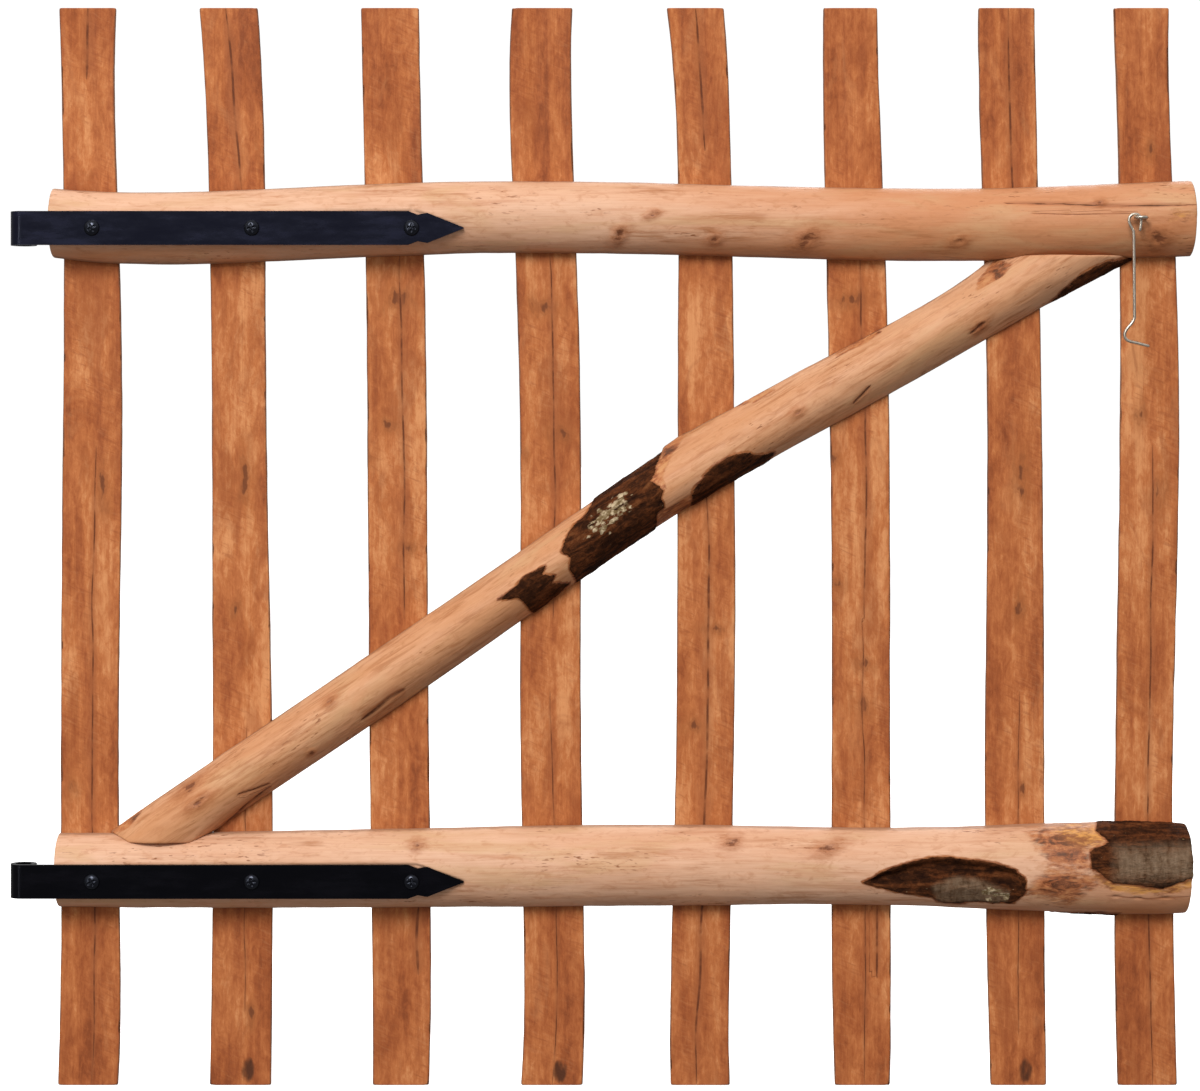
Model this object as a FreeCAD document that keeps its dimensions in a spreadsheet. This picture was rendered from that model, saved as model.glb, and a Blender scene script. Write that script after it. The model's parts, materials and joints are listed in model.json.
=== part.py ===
"""Split-pole garden gate: eight half-round pickets nailed behind two half-round
rails and a diagonal brace, hung on two rolled-eye strap hinges, with a wire
cabin hook at the latch end.

Millimetres.  +Z is up, +X runs from the hinges to the latch end, and -Y is the
side with the straps and the hook.  The origin is the centre of the lower hinge
eye.  The rails' and pickets' sawn flats meet in one plane, `flat_plane`.
"""
import FreeCAD, Part
import math
import os

import Sketcher

Vector = FreeCAD.Vector
Rotation = FreeCAD.Rotation
Placement = FreeCAD.Placement

# ---------------------------------------------------------------- dimensions
DRIVING = [
    # hinge straps
    ("hinge_spacing", 540.0),
    ("strap_length", 365.0),
    ("strap_width", 28.0),
    ("strap_thickness", 4.0),
    ("eye_bore_radius", 6.75),
    ("eye_end_gap", 1.0),
    ("tip_length", 30.0),
    ("notch_length", 16.0),
    ("notch_depth", 3.0),
    ("shoulder_inset", 1.6),
    ("strap_bevel", 1.0),
    ("strap_drop", 6.0),
    # rails; the reach is from the hinge axis to the latch end
    ("gate_reach", 971.0),
    ("rail_depth", 29.0),
    ("seat_planing", 1.5),
    ("seat_runout", 45.0),
    ("top_rail_start", 21.0),
    ("top_rail_width", 60.0),
    ("bottom_rail_start", 26.0),
    ("bottom_rail_end_inset", 5.0),
    ("bottom_rail_width", 64.0),
    # pickets
    ("picket_length", 900.0),
    ("picket_drop", 174.0),
    ("picket_width", 49.0),
    ("picket_depth", 24.0),
    ("first_picket_inset", 30.5),
    ("last_picket_inset", 37.0),
    # diagonal brace
    ("brace_width", 90.0),
    ("brace_depth", 25.0),
    ("brace_foot_inset", 86.0),
    ("brace_head_inset", 111.0),
    ("brace_foot_fit", 0.8),
    ("brace_head_fit", 2.0),
    # nails
    ("nail_length", 40.0),
    ("nail_radius", 1.5),
    ("nail_head_radius", 3.5),
    ("nail_head_height", 1.2),
    ("nail_point", 4.0),
    ("nail_spread", 14.0),
    ("nail_stagger", 3.0),
    ("nail_head_gap", 0.1),
    ("hole_fit", 0.05),
    # strap screws
    ("screw_radius", 2.5),
    ("screw_tip_cover", 1.5),
    ("screw_point", 6.0),
    ("screw_head_radius", 6.5),
    ("screw_head_height", 3.4),
    ("screw_rim", 0.8),
    ("recess_span", 6.0),
    ("recess_slot", 1.3),
    ("recess_depth", 2.0),
    ("strap_hole_fit", 0.3),
    ("first_screw", 58.0),
    ("screw_pitch", 132.0),
    # cabin hook and its screw eye
    ("wire_radius", 1.25),
    ("wire_play", 0.4),
    ("eye_ring_radius", 5.0),
    ("eye_slant", 30.0),
    ("eye_stand_off", 4.0),
    ("eye_shank_length", 22.0),
    ("eye_point", 5.0),
    ("eye_rise", 2.0),
    ("hook_inset", 53.0),
    ("hook_loop_radius", 5.0),
    ("hook_length", 106.0),
    ("hook_kink", 8.0),
    ("hook_kink_height", 22.0),
    ("hook_tip_length", 21.0),
    ("hook_tail_length", 9.0),
    ("hook_stem_offset", 1.1),
]

DERIVED = [
    ("seat_depth", "=rail_depth - seat_planing"),
    ("flat_plane", "=seat_depth - eye_bore_radius"),
    ("eye_outer_radius", "=eye_bore_radius + strap_thickness"),
    ("bottom_rail_z", "=strap_drop"),
    ("top_rail_z", "=hinge_spacing + strap_drop"),
    ("top_rail_length", "=gate_reach - top_rail_start"),
    ("bottom_rail_length", "=gate_reach - bottom_rail_end_inset - bottom_rail_start"),
    ("first_picket_x", "=top_rail_start + first_picket_inset"),
    ("last_picket_x", "=gate_reach - last_picket_inset"),
    ("brace_foot_x", "=bottom_rail_start + brace_foot_inset"),
    ("brace_head_x", "=gate_reach - brace_head_inset"),
    ("brace_foot_z", "=bottom_rail_z + bottom_rail_width / 2 + brace_foot_fit"),
    ("brace_head_z", "=top_rail_z - top_rail_width / 2 - brace_head_fit"),
    ("brace_run", "=brace_head_x - brace_foot_x"),
    ("brace_rise", "=brace_head_z - brace_foot_z"),
    ("nail_grip", "=nail_length - picket_depth"),
    ("screw_grip", "=seat_depth - screw_tip_cover"),
    ("screw_length", "=screw_grip + strap_thickness"),
    ("hook_x", "=gate_reach - hook_inset"),
    ("hook_z", "=top_rail_z + eye_rise"),
    ("hook_y", "=flat_plane - rail_depth - eye_stand_off - eye_ring_radius - wire_radius"),
]

# ------------------------------------------------------- natural pole outlines
# Each pole is a loft through a few sections.  A section is the fraction of the
# length, the sideways sway of its middle, and what it adds to the nominal
# width and depth.
TOP_RAIL_FORM = [
    (0.00, 0.0, -2.0, 0.0),
    (0.25, 1.0, 1.0, 0.5),
    (0.45, 5.0, 0.0, 1.0),
    (0.63, 1.0, 0.0, 1.0),
    (0.83, -1.0, 1.0, 2.0),
    (1.00, 4.0, 4.0, 2.0),
]
BOTTOM_RAIL_FORM = [
    (0.00, 0.0, -2.0, 0.0),
    (0.14, 0.0, 0.0, 0.5),
    (0.42, 3.0, 4.0, 2.0),
    (0.60, 4.0, 3.0, 3.0),
    (0.75, 3.0, 1.0, 5.0),
    (0.89, 2.0, 11.0, 7.0),
    (1.00, 1.0, 10.0, 7.0),
]
BRACE_FORM = [
    (0.00, 0.0, -2.0, 0.0),
    (0.24, -11.0, 0.0, 0.0),
    (0.42, -22.0, -4.0, 1.0),
    (0.60, -30.0, 2.0, 2.0),
    (0.76, -22.0, 22.0, 0.0),
    (0.91, -5.0, 14.0, -1.0),
    (1.00, 0.0, 30.0, -1.0),
]
# Picket sections stand at PICKET_HEIGHTS; each picket lists its sways and then
# its added widths.  `drift` moves it off the even spacing.
PICKET_HEIGHTS = (0.0, 0.2, 0.4, 0.6, 0.83, 1.0)
PICKETS = [
    {"drift": 0.0, "sway": (-2, 0, 0, 2, 0, -2), "width": (2, 0, 0, 1, -4, -1)},
    {"drift": -0.5, "sway": (0, 2, 1, -1, -3, -10), "width": (3, 2, 0, -3, -2, 0)},
    {"drift": 4.5, "sway": (3, 3, 1, 0, -3, -6), "width": (-2, 1, 1, 1, 0, 0)},
    {"drift": 6.5, "sway": (1, 2, 0, 0, -6, -7), "width": (3, 2, 2, 2, 3, 2)},
    {"drift": 10.5, "sway": (-5, -3, 0, 0, -1, -9), "width": (1, 0, 0, -1, -4, -1)},
    {"drift": 13.0, "sway": (2, 1, 1, 0, -5, -8), "width": (-3, 1, 0, 1, 0, -4)},
    {"drift": 15.5, "sway": (4, 1, 1, 1, -3, -6), "width": (-2, 1, 0, -3, -2, -2)},
    {"drift": 0.0, "sway": (1, -2, 0, 3, 0, -4), "width": (1, 0, 0, 1, -4, -2)},
]

DOC = FreeCAD.newDocument("garden_gate")
SHEET = DOC.addObject("Spreadsheet::Sheet", "sizes")


def fill_sheet():
    """Write every driving size, and then the sizes that follow from them."""
    rows = [(alias, f"{size:g}") for alias, size in DRIVING] + DERIVED
    for row, (alias, content) in enumerate(rows, start=1):
        SHEET.set(f"A{row}", alias)
        SHEET.set(f"B{row}", content)
        SHEET.setAlias(f"B{row}", alias)
    DOC.recompute()


def size(alias):
    """One size of the sheet as a plain number."""
    return float(getattr(SHEET, alias))


def number(expression):
    """The value of an expression over the sheet."""
    return float(SHEET.evalExpression(expression))


def between(stations, position, column=1):
    """A column of a form, read between its sections at `position` (column 0)."""
    for low, high in zip(stations, stations[1:]):
        if position <= high[0]:
            part = (position - low[0]) / (high[0] - low[0])
            return low[column] + part * (high[column] - low[column])
    return stations[-1][column]


# ------------------------------------------------------------ drawing helpers
def new_body(label):
    body = DOC.addObject("PartDesign::Body", label)
    body.Label = label
    return body


def place(item, x="0", y="0", z="0"):
    """Bind a sub-part's position to expressions over the sheet."""
    item.setExpression("Placement.Base.x", x)
    item.setExpression("Placement.Base.y", y)
    item.setExpression("Placement.Base.z", z)


def new_sketch(body, name, role, offset="0"):
    plane = next(item for item in body.Origin.OriginFeatures if item.Role == role)
    sketch = body.newObject("Sketcher::SketchObject", name)
    sketch.AttachmentSupport = [(plane, "")]
    sketch.MapMode = "FlatFace"
    sketch.setExpression("AttachmentOffset.Base.z", offset)
    return sketch


def dimension(sketch, kind, references, expression):
    """Add one dimension to a sketch and bind it to an expression."""
    constraint = Sketcher.Constraint(kind, *references, number(expression))
    index = sketch.addConstraint(constraint)
    sketch.setExpression(f"Constraints[{index}]", expression)


def pin(sketch, geometry, point, x, y):
    """Hold one point of a sketch at x, y from its origin."""
    dimension(sketch, "DistanceX", (-1, 1, geometry, point), x)
    dimension(sketch, "DistanceY", (-1, 1, geometry, point), y)


def join(sketch, geometry, point, other, other_point):
    sketch.addConstraint(
        Sketcher.Constraint("Coincident", geometry, point, other, other_point)
    )


def polygon(sketch, corners):
    """A closed outline of straight lines whose corners follow expressions."""
    points = [Vector(number(x), number(y), 0) for x, y in corners]
    following = points[1:] + points[:1]
    lines = [
        sketch.addGeometry(Part.LineSegment(start, end))
        for start, end in zip(points, following)
    ]
    for line, after in zip(lines, lines[1:] + lines[:1]):
        join(sketch, line, 2, after, 1)
    for line, (x, y) in zip(lines, corners):
        pin(sketch, line, 1, x, y)


def circles(sketch, centres, radius):
    for x, y in centres:
        centre = Vector(number(x), number(y), 0)
        ring = sketch.addGeometry(Part.Circle(centre, Vector(0, 0, 1), number(radius)))
        dimension(sketch, "Radius", (ring,), radius)
        pin(sketch, ring, 3, x, y)


def half_round(sketch, facing, centre, width, depth):
    """A split pole's section: a straight sawn chord through the sketch's origin
    line and an arc that bulges `depth` from it, facing "+y", "-y" or "-x"."""
    turns = {"+y": (1, 0, 0, 1), "-y": (-1, 0, 0, -1), "-x": (0, 1, -1, 0)}
    along_x, along_y, out_x, out_y = turns[facing]
    half = f"({width}) / 2"
    corners = []
    for side in (1, -1):
        reach = f"{centre} + {side} * ({along_x + along_y}) * {half}"
        corners.append((reach, "0") if along_x else ("0", reach))
    crest = Vector(out_x, out_y, 0) * number(depth)
    crest += Vector(abs(along_x), abs(along_y), 0) * number(centre)
    first, last = (Vector(number(x), number(y), 0) for x, y in corners)
    arc = sketch.addGeometry(Part.Arc(first, crest, last))
    chord = sketch.addGeometry(Part.LineSegment(last, first))
    join(sketch, arc, 1, chord, 2)
    join(sketch, arc, 2, chord, 1)
    pin(sketch, chord, 2, *corners[0])
    pin(sketch, chord, 1, *corners[1])
    rise = f"(({depth}) ^ 2 - ({width}) ^ 2 / 4) / (2 * ({depth}))"
    if along_x:
        dimension(sketch, "DistanceY", (-1, 1, arc, 3), f"{out_y} * {rise}")
    else:
        dimension(sketch, "DistanceX", (-1, 1, arc, 3), f"{out_x} * {rise}")


def loft(body, sketches):
    feature = body.newObject("PartDesign::AdditiveLoft", "loft")
    feature.Profile = sketches[0]
    feature.Sections = sketches[1:]
    DOC.recompute()
    return feature


def pocket(body, sketch, name, depth=None, toward_front=False, both_ways=False):
    """Cut a sketch into a body and make sure that it takes material away."""
    before = body.Shape.Volume
    cut = body.newObject("PartDesign::Pocket", name)
    cut.Profile = sketch
    if depth is None:
        cut.Type = 1
    else:
        cut.setExpression("Length", depth)
    cut.Reversed = toward_front
    cut.Midplane = both_ways
    DOC.recompute()
    if body.Shape.Volume >= before:
        raise ValueError(f"{body.Label}: {name} cuts nothing")
    return cut


# ---------------------------------------------------------------- split poles
def picket_x(index):
    """Where a picket's middle stands, as an expression."""
    share = index / (len(PICKETS) - 1)
    spread = f"(sizes.last_picket_x - sizes.first_picket_x) * {share:.6f}"
    return f"sizes.first_picket_x + {spread} + {PICKETS[index]['drift']}"


def picket_sway(index, height):
    """How far a picket's middle stands off its own line, at a height over z = 0."""
    fraction = (height + size("picket_drop")) / size("picket_length")
    return between(list(zip(PICKET_HEIGHTS, PICKETS[index]["sway"])), fraction)


def brace_height(x):
    """Height of the brace's middle over z = 0, where it passes x, or None."""
    line = []
    for fraction, sway, _, _ in BRACE_FORM:
        along = size("brace_foot_x") + fraction * size("brace_run") + sway
        line.append((along, size("brace_foot_z") + fraction * size("brace_rise")))
    if not line[0][0] < x < line[-1][0]:
        return None
    return between(line, x)


def nail_points(index):
    """Each nail of one picket as its kind, its x and its height.

    The nails stand a little to either side of the picket's middle, so that a
    pair does not split it.
    """
    middle = number(picket_x(index))
    stagger = size("nail_stagger")
    spots = []
    for rail in ("bottom_rail", "top_rail"):
        for side in (-1, 1):
            height = size(f"{rail}_z") + side * size("nail_spread")
            sway = picket_sway(index, height)
            spots.append((rail, middle + sway + side * stagger, height))
    crossing = brace_height(middle)
    inner = 0 < index < len(PICKETS) - 1
    if inner and crossing is not None:
        sway = picket_sway(index, crossing)
        spots.append(("brace", middle + sway + stagger, crossing))
    return spots


def nail_holes(body, kinds, origin_x, origin_z, depth=None, toward_front=False,
               indices=range(len(PICKETS))):
    """Cut the nail holes of the given kinds into the sawn flat of a pole."""
    centres = []
    for index in indices:
        for kind, x, height in nail_points(index):
            if kind in kinds:
                centres.append((f"{x:.3f} - ({origin_x})", f"{height:.3f} - ({origin_z})"))
    sketch = new_sketch(body, "nail_layout", "XZ_Plane")
    circles(sketch, centres, "sizes.nail_radius + sizes.hole_fit")
    pocket(body, sketch, "nail_holes", depth, toward_front)


def make_picket(index):
    body = new_body(f"picket_{index + 1}")
    sections = []
    for fraction, sway, extra in zip(
        PICKET_HEIGHTS, PICKETS[index]["sway"], PICKETS[index]["width"]
    ):
        height = f"sizes.picket_length * {fraction}"
        sketch = new_sketch(body, "section", "XY_Plane", height)
        width = f"sizes.picket_width + {extra}"
        half_round(sketch, "+y", f"{sway}", width, "sizes.picket_depth")
        sections.append(sketch)
    loft(body, sections)
    nail_holes(body, ("bottom_rail", "top_rail", "brace"), picket_x(index),
               "-sizes.picket_drop", "sizes.picket_depth + 1", indices=(index,))
    place(body, picket_x(index), "sizes.flat_plane", "-sizes.picket_drop")
    return body


def make_rail(label, form):
    """A half-round rail with a planed seat for its hinge strap."""
    body = new_body(label)
    sections = []
    for fraction, sway, extra_width, extra_depth in form:
        along = f"sizes.{label}_length * {fraction}"
        sketch = new_sketch(body, "section", "YZ_Plane", along)
        width = f"sizes.{label}_width + {extra_width}"
        half_round(sketch, "-x", f"{sway}", width, f"sizes.rail_depth + {extra_depth}")
        sections.append(sketch)
    loft(body, sections)

    seat = new_sketch(body, "strap_seat", "XY_Plane")
    tip = f"sizes.strap_length - sizes.{label}_start"
    beyond = f"sizes.rail_depth + {max(row[3] for row in form) + 1}"
    polygon(seat, [
        ("-1", "-sizes.seat_depth"),
        (tip, "-sizes.seat_depth"),
        (f"{tip} + sizes.seat_runout", f"-({beyond})"),
        ("-1", f"-({beyond})"),
    ])
    pocket(body, seat, "planed_seat", both_ways=True)

    nail_holes(body, (label,), f"sizes.{label}_start", f"sizes.{label}_z",
               "sizes.nail_grip + sizes.hole_fit", toward_front=True)

    screws = new_sketch(body, "screw_layout", "XZ_Plane", "sizes.seat_depth")
    centres = [(f"{x} - sizes.{label}_start", "-sizes.strap_drop") for x in screw_places()]
    circles(screws, centres, "sizes.screw_radius + sizes.hole_fit")
    pocket(body, screws, "screw_holes", "sizes.screw_grip + sizes.hole_fit")
    place(body, f"sizes.{label}_start", "sizes.flat_plane", f"sizes.{label}_z")
    return body


def make_brace():
    """The brace is lofted through level sections, so that both ends are cut level."""
    body = new_body("diagonal_brace")
    sections = []
    for fraction, sway, extra_width, extra_depth in BRACE_FORM:
        sketch = new_sketch(body, "section", "XY_Plane", f"sizes.brace_rise * {fraction}")
        middle = f"sizes.brace_run * {fraction} + {sway}"
        width = f"sizes.brace_width + {extra_width}"
        half_round(sketch, "-y", middle, width, f"sizes.brace_depth + {extra_depth}")
        sections.append(sketch)
    loft(body, sections)
    nail_holes(body, ("brace",), "sizes.brace_foot_x", "sizes.brace_foot_z",
               "sizes.nail_grip + sizes.hole_fit", toward_front=True)
    place(body, "sizes.brace_foot_x", "sizes.flat_plane", "sizes.brace_foot_z")
    return body


# --------------------------------------------------------------- strap hinges
def screw_places():
    """Expressions for where a strap's three screws stand from its eye."""
    return [f"sizes.first_screw + {count} * sizes.screw_pitch" for count in range(3)]


def make_strap(label, height):
    """A flat bar rolled back into a pin eye, with a notched spear point."""
    body = new_body(label)
    profile = new_sketch(body, "rolled_bar", "XY_Plane")
    bore = size("eye_bore_radius")
    outer = size("eye_outer_radius")
    reach = size("strap_length")
    curl = math.asin((size("eye_end_gap") - bore) / outer)
    inner_end = Vector(bore * math.cos(curl), bore * math.sin(curl), 0)
    outer_end = Vector(outer * math.cos(curl), outer * math.sin(curl), 0)
    front = profile.addGeometry(Part.LineSegment(Vector(0, -outer, 0), Vector(reach, -outer, 0)))
    end = profile.addGeometry(Part.LineSegment(Vector(reach, -outer, 0), Vector(reach, -bore, 0)))
    back = profile.addGeometry(Part.LineSegment(Vector(reach, -bore, 0), Vector(0, -bore, 0)))
    ring = Part.Circle(Vector(0, 0, 0), Vector(0, 0, 1), bore)
    inside = profile.addGeometry(Part.ArcOfCircle(ring, curl, 1.5 * math.pi))
    lip = profile.addGeometry(Part.LineSegment(inner_end, outer_end))
    ring = Part.Circle(Vector(0, 0, 0), Vector(0, 0, 1), outer)
    outside = profile.addGeometry(Part.ArcOfCircle(ring, curl, 1.5 * math.pi))
    join(profile, front, 2, end, 1)
    join(profile, end, 2, back, 1)
    join(profile, back, 2, inside, 2)
    join(profile, inside, 1, lip, 1)
    join(profile, lip, 2, outside, 1)
    join(profile, outside, 2, front, 1)
    join(profile, inside, 3, -1, 1)
    join(profile, outside, 3, -1, 1)
    pin(profile, front, 1, "0", "-sizes.eye_outer_radius")
    pin(profile, end, 1, "sizes.strap_length", "-sizes.eye_outer_radius")
    pin(profile, back, 1, "sizes.strap_length", "-sizes.eye_bore_radius")
    pin(profile, inside, 2, "0", "-sizes.eye_bore_radius")
    lip_height = "sizes.eye_end_gap - sizes.eye_bore_radius"
    dimension(profile, "DistanceY", (-1, 1, outside, 1), lip_height)
    dimension(profile, "DistanceY", (-1, 1, lip, 1),
              f"({lip_height}) * sizes.eye_bore_radius / sizes.eye_outer_radius")
    pad = body.newObject("PartDesign::Pad", "bar")
    pad.Profile = profile
    pad.Midplane = True
    pad.setExpression("Length", "sizes.strap_width")
    DOC.recompute()

    outline = new_sketch(body, "spear_point", "XZ_Plane")
    shoulder = "sizes.strap_length - sizes.tip_length"
    edge = "sizes.strap_width / 2"
    corners = [
        (f"{shoulder} - sizes.notch_length", f"{edge} + 1"),
        (f"{shoulder} - sizes.notch_length", edge),
        (f"{shoulder} - sizes.notch_length / 2", f"{edge} - sizes.notch_depth"),
        (shoulder, f"{edge} - sizes.shoulder_inset"),
        ("sizes.strap_length", "0.4"),
        ("sizes.strap_length + 1", "0.4"),
        ("sizes.strap_length + 1", f"{edge} + 1"),
    ]
    polygon(outline, corners)
    polygon(outline, [(x, f"-({y})") for x, y in corners])
    pocket(body, outline, "spear_cut", both_ways=True)

    holes = new_sketch(body, "screw_layout", "XZ_Plane")
    circles(holes, [(x, "0") for x in screw_places()], "sizes.screw_radius + sizes.strap_hole_fit")
    pocket(body, holes, "screw_holes", both_ways=True)
    place(body, z=height)
    return body


# ------------------------------------------------------------------ fasteners
def turned_blank(name, profile):
    """A fastener turned about its own axis, which runs from the head towards +Z."""
    body = DOC.addObject("PartDesign::Body", name)
    sketch = new_sketch(body, "profile", "XZ_Plane")
    polygon(sketch, profile)
    turned = body.newObject("PartDesign::Revolution", "turned")
    turned.Profile = sketch
    turned.ReferenceAxis = (sketch, ["V_Axis"])
    turned.Angle = 360
    DOC.recompute()
    return body


def nail_blank():
    return turned_blank("nail", [
        ("0", "-sizes.nail_head_height"),
        ("sizes.nail_head_radius", "-sizes.nail_head_height"),
        ("sizes.nail_head_radius", "0"),
        ("sizes.nail_radius", "0"),
        ("sizes.nail_radius", "sizes.nail_length - sizes.nail_point"),
        ("0", "sizes.nail_length"),
    ])


def screw_blank():
    """A domed wood screw with a cross recess."""
    body = turned_blank("screw", [
        ("0", "-sizes.screw_head_height"),
        ("sizes.screw_head_radius * 0.5", "-sizes.screw_head_height * 0.88"),
        ("sizes.screw_head_radius * 0.85", "-sizes.screw_head_height * 0.55"),
        ("sizes.screw_head_radius", "-sizes.screw_rim"),
        ("sizes.screw_head_radius", "0"),
        ("sizes.screw_radius", "0"),
        ("sizes.screw_radius", "sizes.screw_length - sizes.screw_point"),
        ("0", "sizes.screw_length"),
    ])
    recess = new_sketch(body, "recess", "XY_Plane", "-sizes.screw_head_height")
    arm = "sizes.recess_span / 2"
    slot = "sizes.recess_slot / 2"
    corners = [(slot, slot), (arm, slot), (arm, f"-{slot}"), (slot, f"-{slot}")]
    corners += [(slot, f"-({arm})"), (f"-{slot}", f"-({arm})"), (f"-{slot}", f"-{slot}")]
    corners += [(f"-({arm})", f"-{slot}"), (f"-({arm})", slot), (f"-{slot}", slot)]
    corners += [(f"-{slot}", arm), (slot, arm)]
    polygon(recess, corners)
    pocket(body, recess, "cross_recess", "sizes.recess_depth", toward_front=True)
    return body


def fastener_group(label, blank, direction, places, origin):
    """Copies of one fastener as separate solids of one sub-part."""
    turn = Rotation(Vector(0, 0, 1), direction)
    copies = [
        blank.Shape.transformed(Placement(spot - origin, turn).toMatrix(), copy=True)
        for spot in places
    ]
    group = DOC.addObject("Part::Feature", label)
    group.Label = label
    group.Shape = Part.makeCompound(copies)
    group.Placement = Placement(origin, Rotation())
    return group


def make_nails(index, blank):
    """One picket's nails, with their heads just off the picket's rounded back."""
    crest = size("flat_plane") + size("picket_depth") + size("nail_head_gap")
    places = [Vector(x, crest, height) for _, x, height in nail_points(index)]
    origin = Vector(number(picket_x(index)), crest, 0)
    return fastener_group(f"picket_{index + 1}_nails", blank, Vector(0, -1, 0), places, origin)


def make_screws(label, blank, height):
    front = -size("eye_outer_radius")
    places = [Vector(number(x), front, height) for x in screw_places()]
    origin = Vector(0, front, height)
    return fastener_group(label, blank, Vector(0, 1, 0), places, origin)


# ---------------------------------------------------------- hook and its eye
def make_hook_eye():
    """A screw eye: a level wire ring on a shank that slants into the top rail."""
    ring = DOC.addObject("Part::Torus", "eye_ring")
    ring.setExpression("Radius1", "sizes.eye_ring_radius")
    ring.setExpression("Radius2", "sizes.wire_radius")
    shank = DOC.addObject("Part::Cylinder", "eye_shank")
    shank.setExpression("Radius", "sizes.wire_radius")
    shank.setExpression("Height", "sizes.eye_shank_length - sizes.eye_point")
    point = DOC.addObject("Part::Cone", "eye_screw_point")
    point.setExpression("Radius1", "sizes.wire_radius")
    point.Radius2 = 0
    point.setExpression("Height", "sizes.eye_point")
    back = Rotation(Vector(1, 0, 0), -90)
    shank.Placement = Placement(Vector(0, 0, 0), back)
    shank.setExpression("Placement.Base.y", "sizes.eye_ring_radius")
    point.Placement = Placement(Vector(0, 0, 0), back)
    point.setExpression(
        "Placement.Base.y", "sizes.eye_ring_radius + sizes.eye_shank_length - sizes.eye_point"
    )
    eye = DOC.addObject("Part::MultiFuse", "hook_eye")
    eye.Label = "hook_eye"
    eye.Shapes = [ring, shank, point]
    eye.Placement = Placement(Vector(0, 0, 0), Rotation(Vector(0, 0, -1), size("eye_slant")))
    place(eye, "sizes.hook_x + sizes.eye_ring_radius", "sizes.hook_y", "sizes.hook_z")
    return eye


def bore_for_hook_eye(rail):
    """The slanting hole that the screw eye's shank fills."""
    slant = math.radians(size("eye_slant"))
    hole = rail.newObject("PartDesign::SubtractiveCylinder", "hook_eye_hole")
    hole.setExpression("Radius", "sizes.wire_radius + sizes.hole_fit")
    hole.setExpression("Height", "sizes.eye_shank_length + sizes.hole_fit")
    direction = Vector(math.sin(slant), math.cos(slant), 0)
    hole.Placement = Placement(Vector(0, 0, 0), Rotation(Vector(0, 0, 1), direction))
    place(
        hole,
        "sizes.hook_x + sizes.eye_ring_radius * (1 + sin(sizes.eye_slant)) - sizes.top_rail_start",
        "sizes.hook_y + sizes.eye_ring_radius * cos(sizes.eye_slant) - sizes.flat_plane",
        "sizes.hook_z - sizes.top_rail_z",
    )
    before = rail.Shape.Volume
    DOC.recompute()
    if rail.Shape.Volume >= before:
        raise ValueError("the screw eye's hole cuts nothing")


def make_hook():
    """The bent wire hook.  It hangs from the ring's wire, at the body's origin."""
    body = new_body("gate_hook")
    path = new_sketch(body, "wire_path", "XZ_Plane")
    sag = "(sizes.hook_loop_radius - 2 * sizes.wire_radius - sizes.wire_play)"
    loop_end = math.radians(205)
    centre = Vector(0, -number(sag), 0)
    loop = Part.Circle(centre, Vector(0, 0, 1), size("hook_loop_radius"))
    corners = [
        (f"sizes.hook_loop_radius * {math.cos(loop_end):.4f}",
         f"sizes.hook_loop_radius * {math.sin(loop_end):.4f} - {sag}"),
        ("-sizes.hook_stem_offset", f"-{sag} - 2 * sizes.hook_loop_radius"),
        ("-sizes.hook_stem_offset", "-(sizes.hook_length - sizes.hook_kink_height)"),
        ("-(sizes.hook_stem_offset + sizes.hook_kink)", "-(sizes.hook_length - 12)"),
        ("-(sizes.hook_stem_offset + sizes.hook_kink)", "-(sizes.hook_length - 5)"),
        ("sizes.hook_tip_length - sizes.hook_stem_offset - sizes.hook_kink",
         "-sizes.hook_length"),
    ]
    tail = ("sizes.hook_loop_radius", f"-{sag} - sizes.hook_tail_length")
    points = [Vector(number(x), number(y), 0) for x, y in corners]
    start = Vector(number(tail[0]), number(tail[1]), 0)
    shoulder = Vector(size("hook_loop_radius"), centre.y, 0)
    first = path.addGeometry(Part.LineSegment(start, shoulder))
    turn = path.addGeometry(Part.ArcOfCircle(loop, 0, loop_end))
    join(path, first, 2, turn, 1)
    pin(path, first, 1, *tail)
    pin(path, turn, 3, "0", f"-{sag}")
    dimension(path, "Radius", (turn,), "sizes.hook_loop_radius")
    dimension(path, "DistanceY", (-1, 1, first, 2), f"-{sag}")
    previous = (turn, 2)
    for begin, finish, corner in zip(points, points[1:], corners):
        line = path.addGeometry(Part.LineSegment(begin, finish))
        join(path, *previous, line, 1)
        dimension(path, "DistanceY", (-1, 1, line, 1), corner[1])
        if previous[0] != turn:
            dimension(path, "DistanceX", (-1, 1, line, 1), corner[0])
        previous = (line, 2)
    pin(path, *previous, *corners[-1])

    wire = new_sketch(body, "wire_section", "XY_Plane", tail[1])
    circles(wire, [(tail[0], "0")], "sizes.wire_radius")
    pipe = body.newObject("PartDesign::AdditivePipe", "bent_wire")
    pipe.Profile = wire
    pipe.Spine = (path, [])
    pipe.Transition = "Round corner"
    DOC.recompute()
    place(body, "sizes.hook_x", "sizes.hook_y", "sizes.hook_z")
    return body


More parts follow.
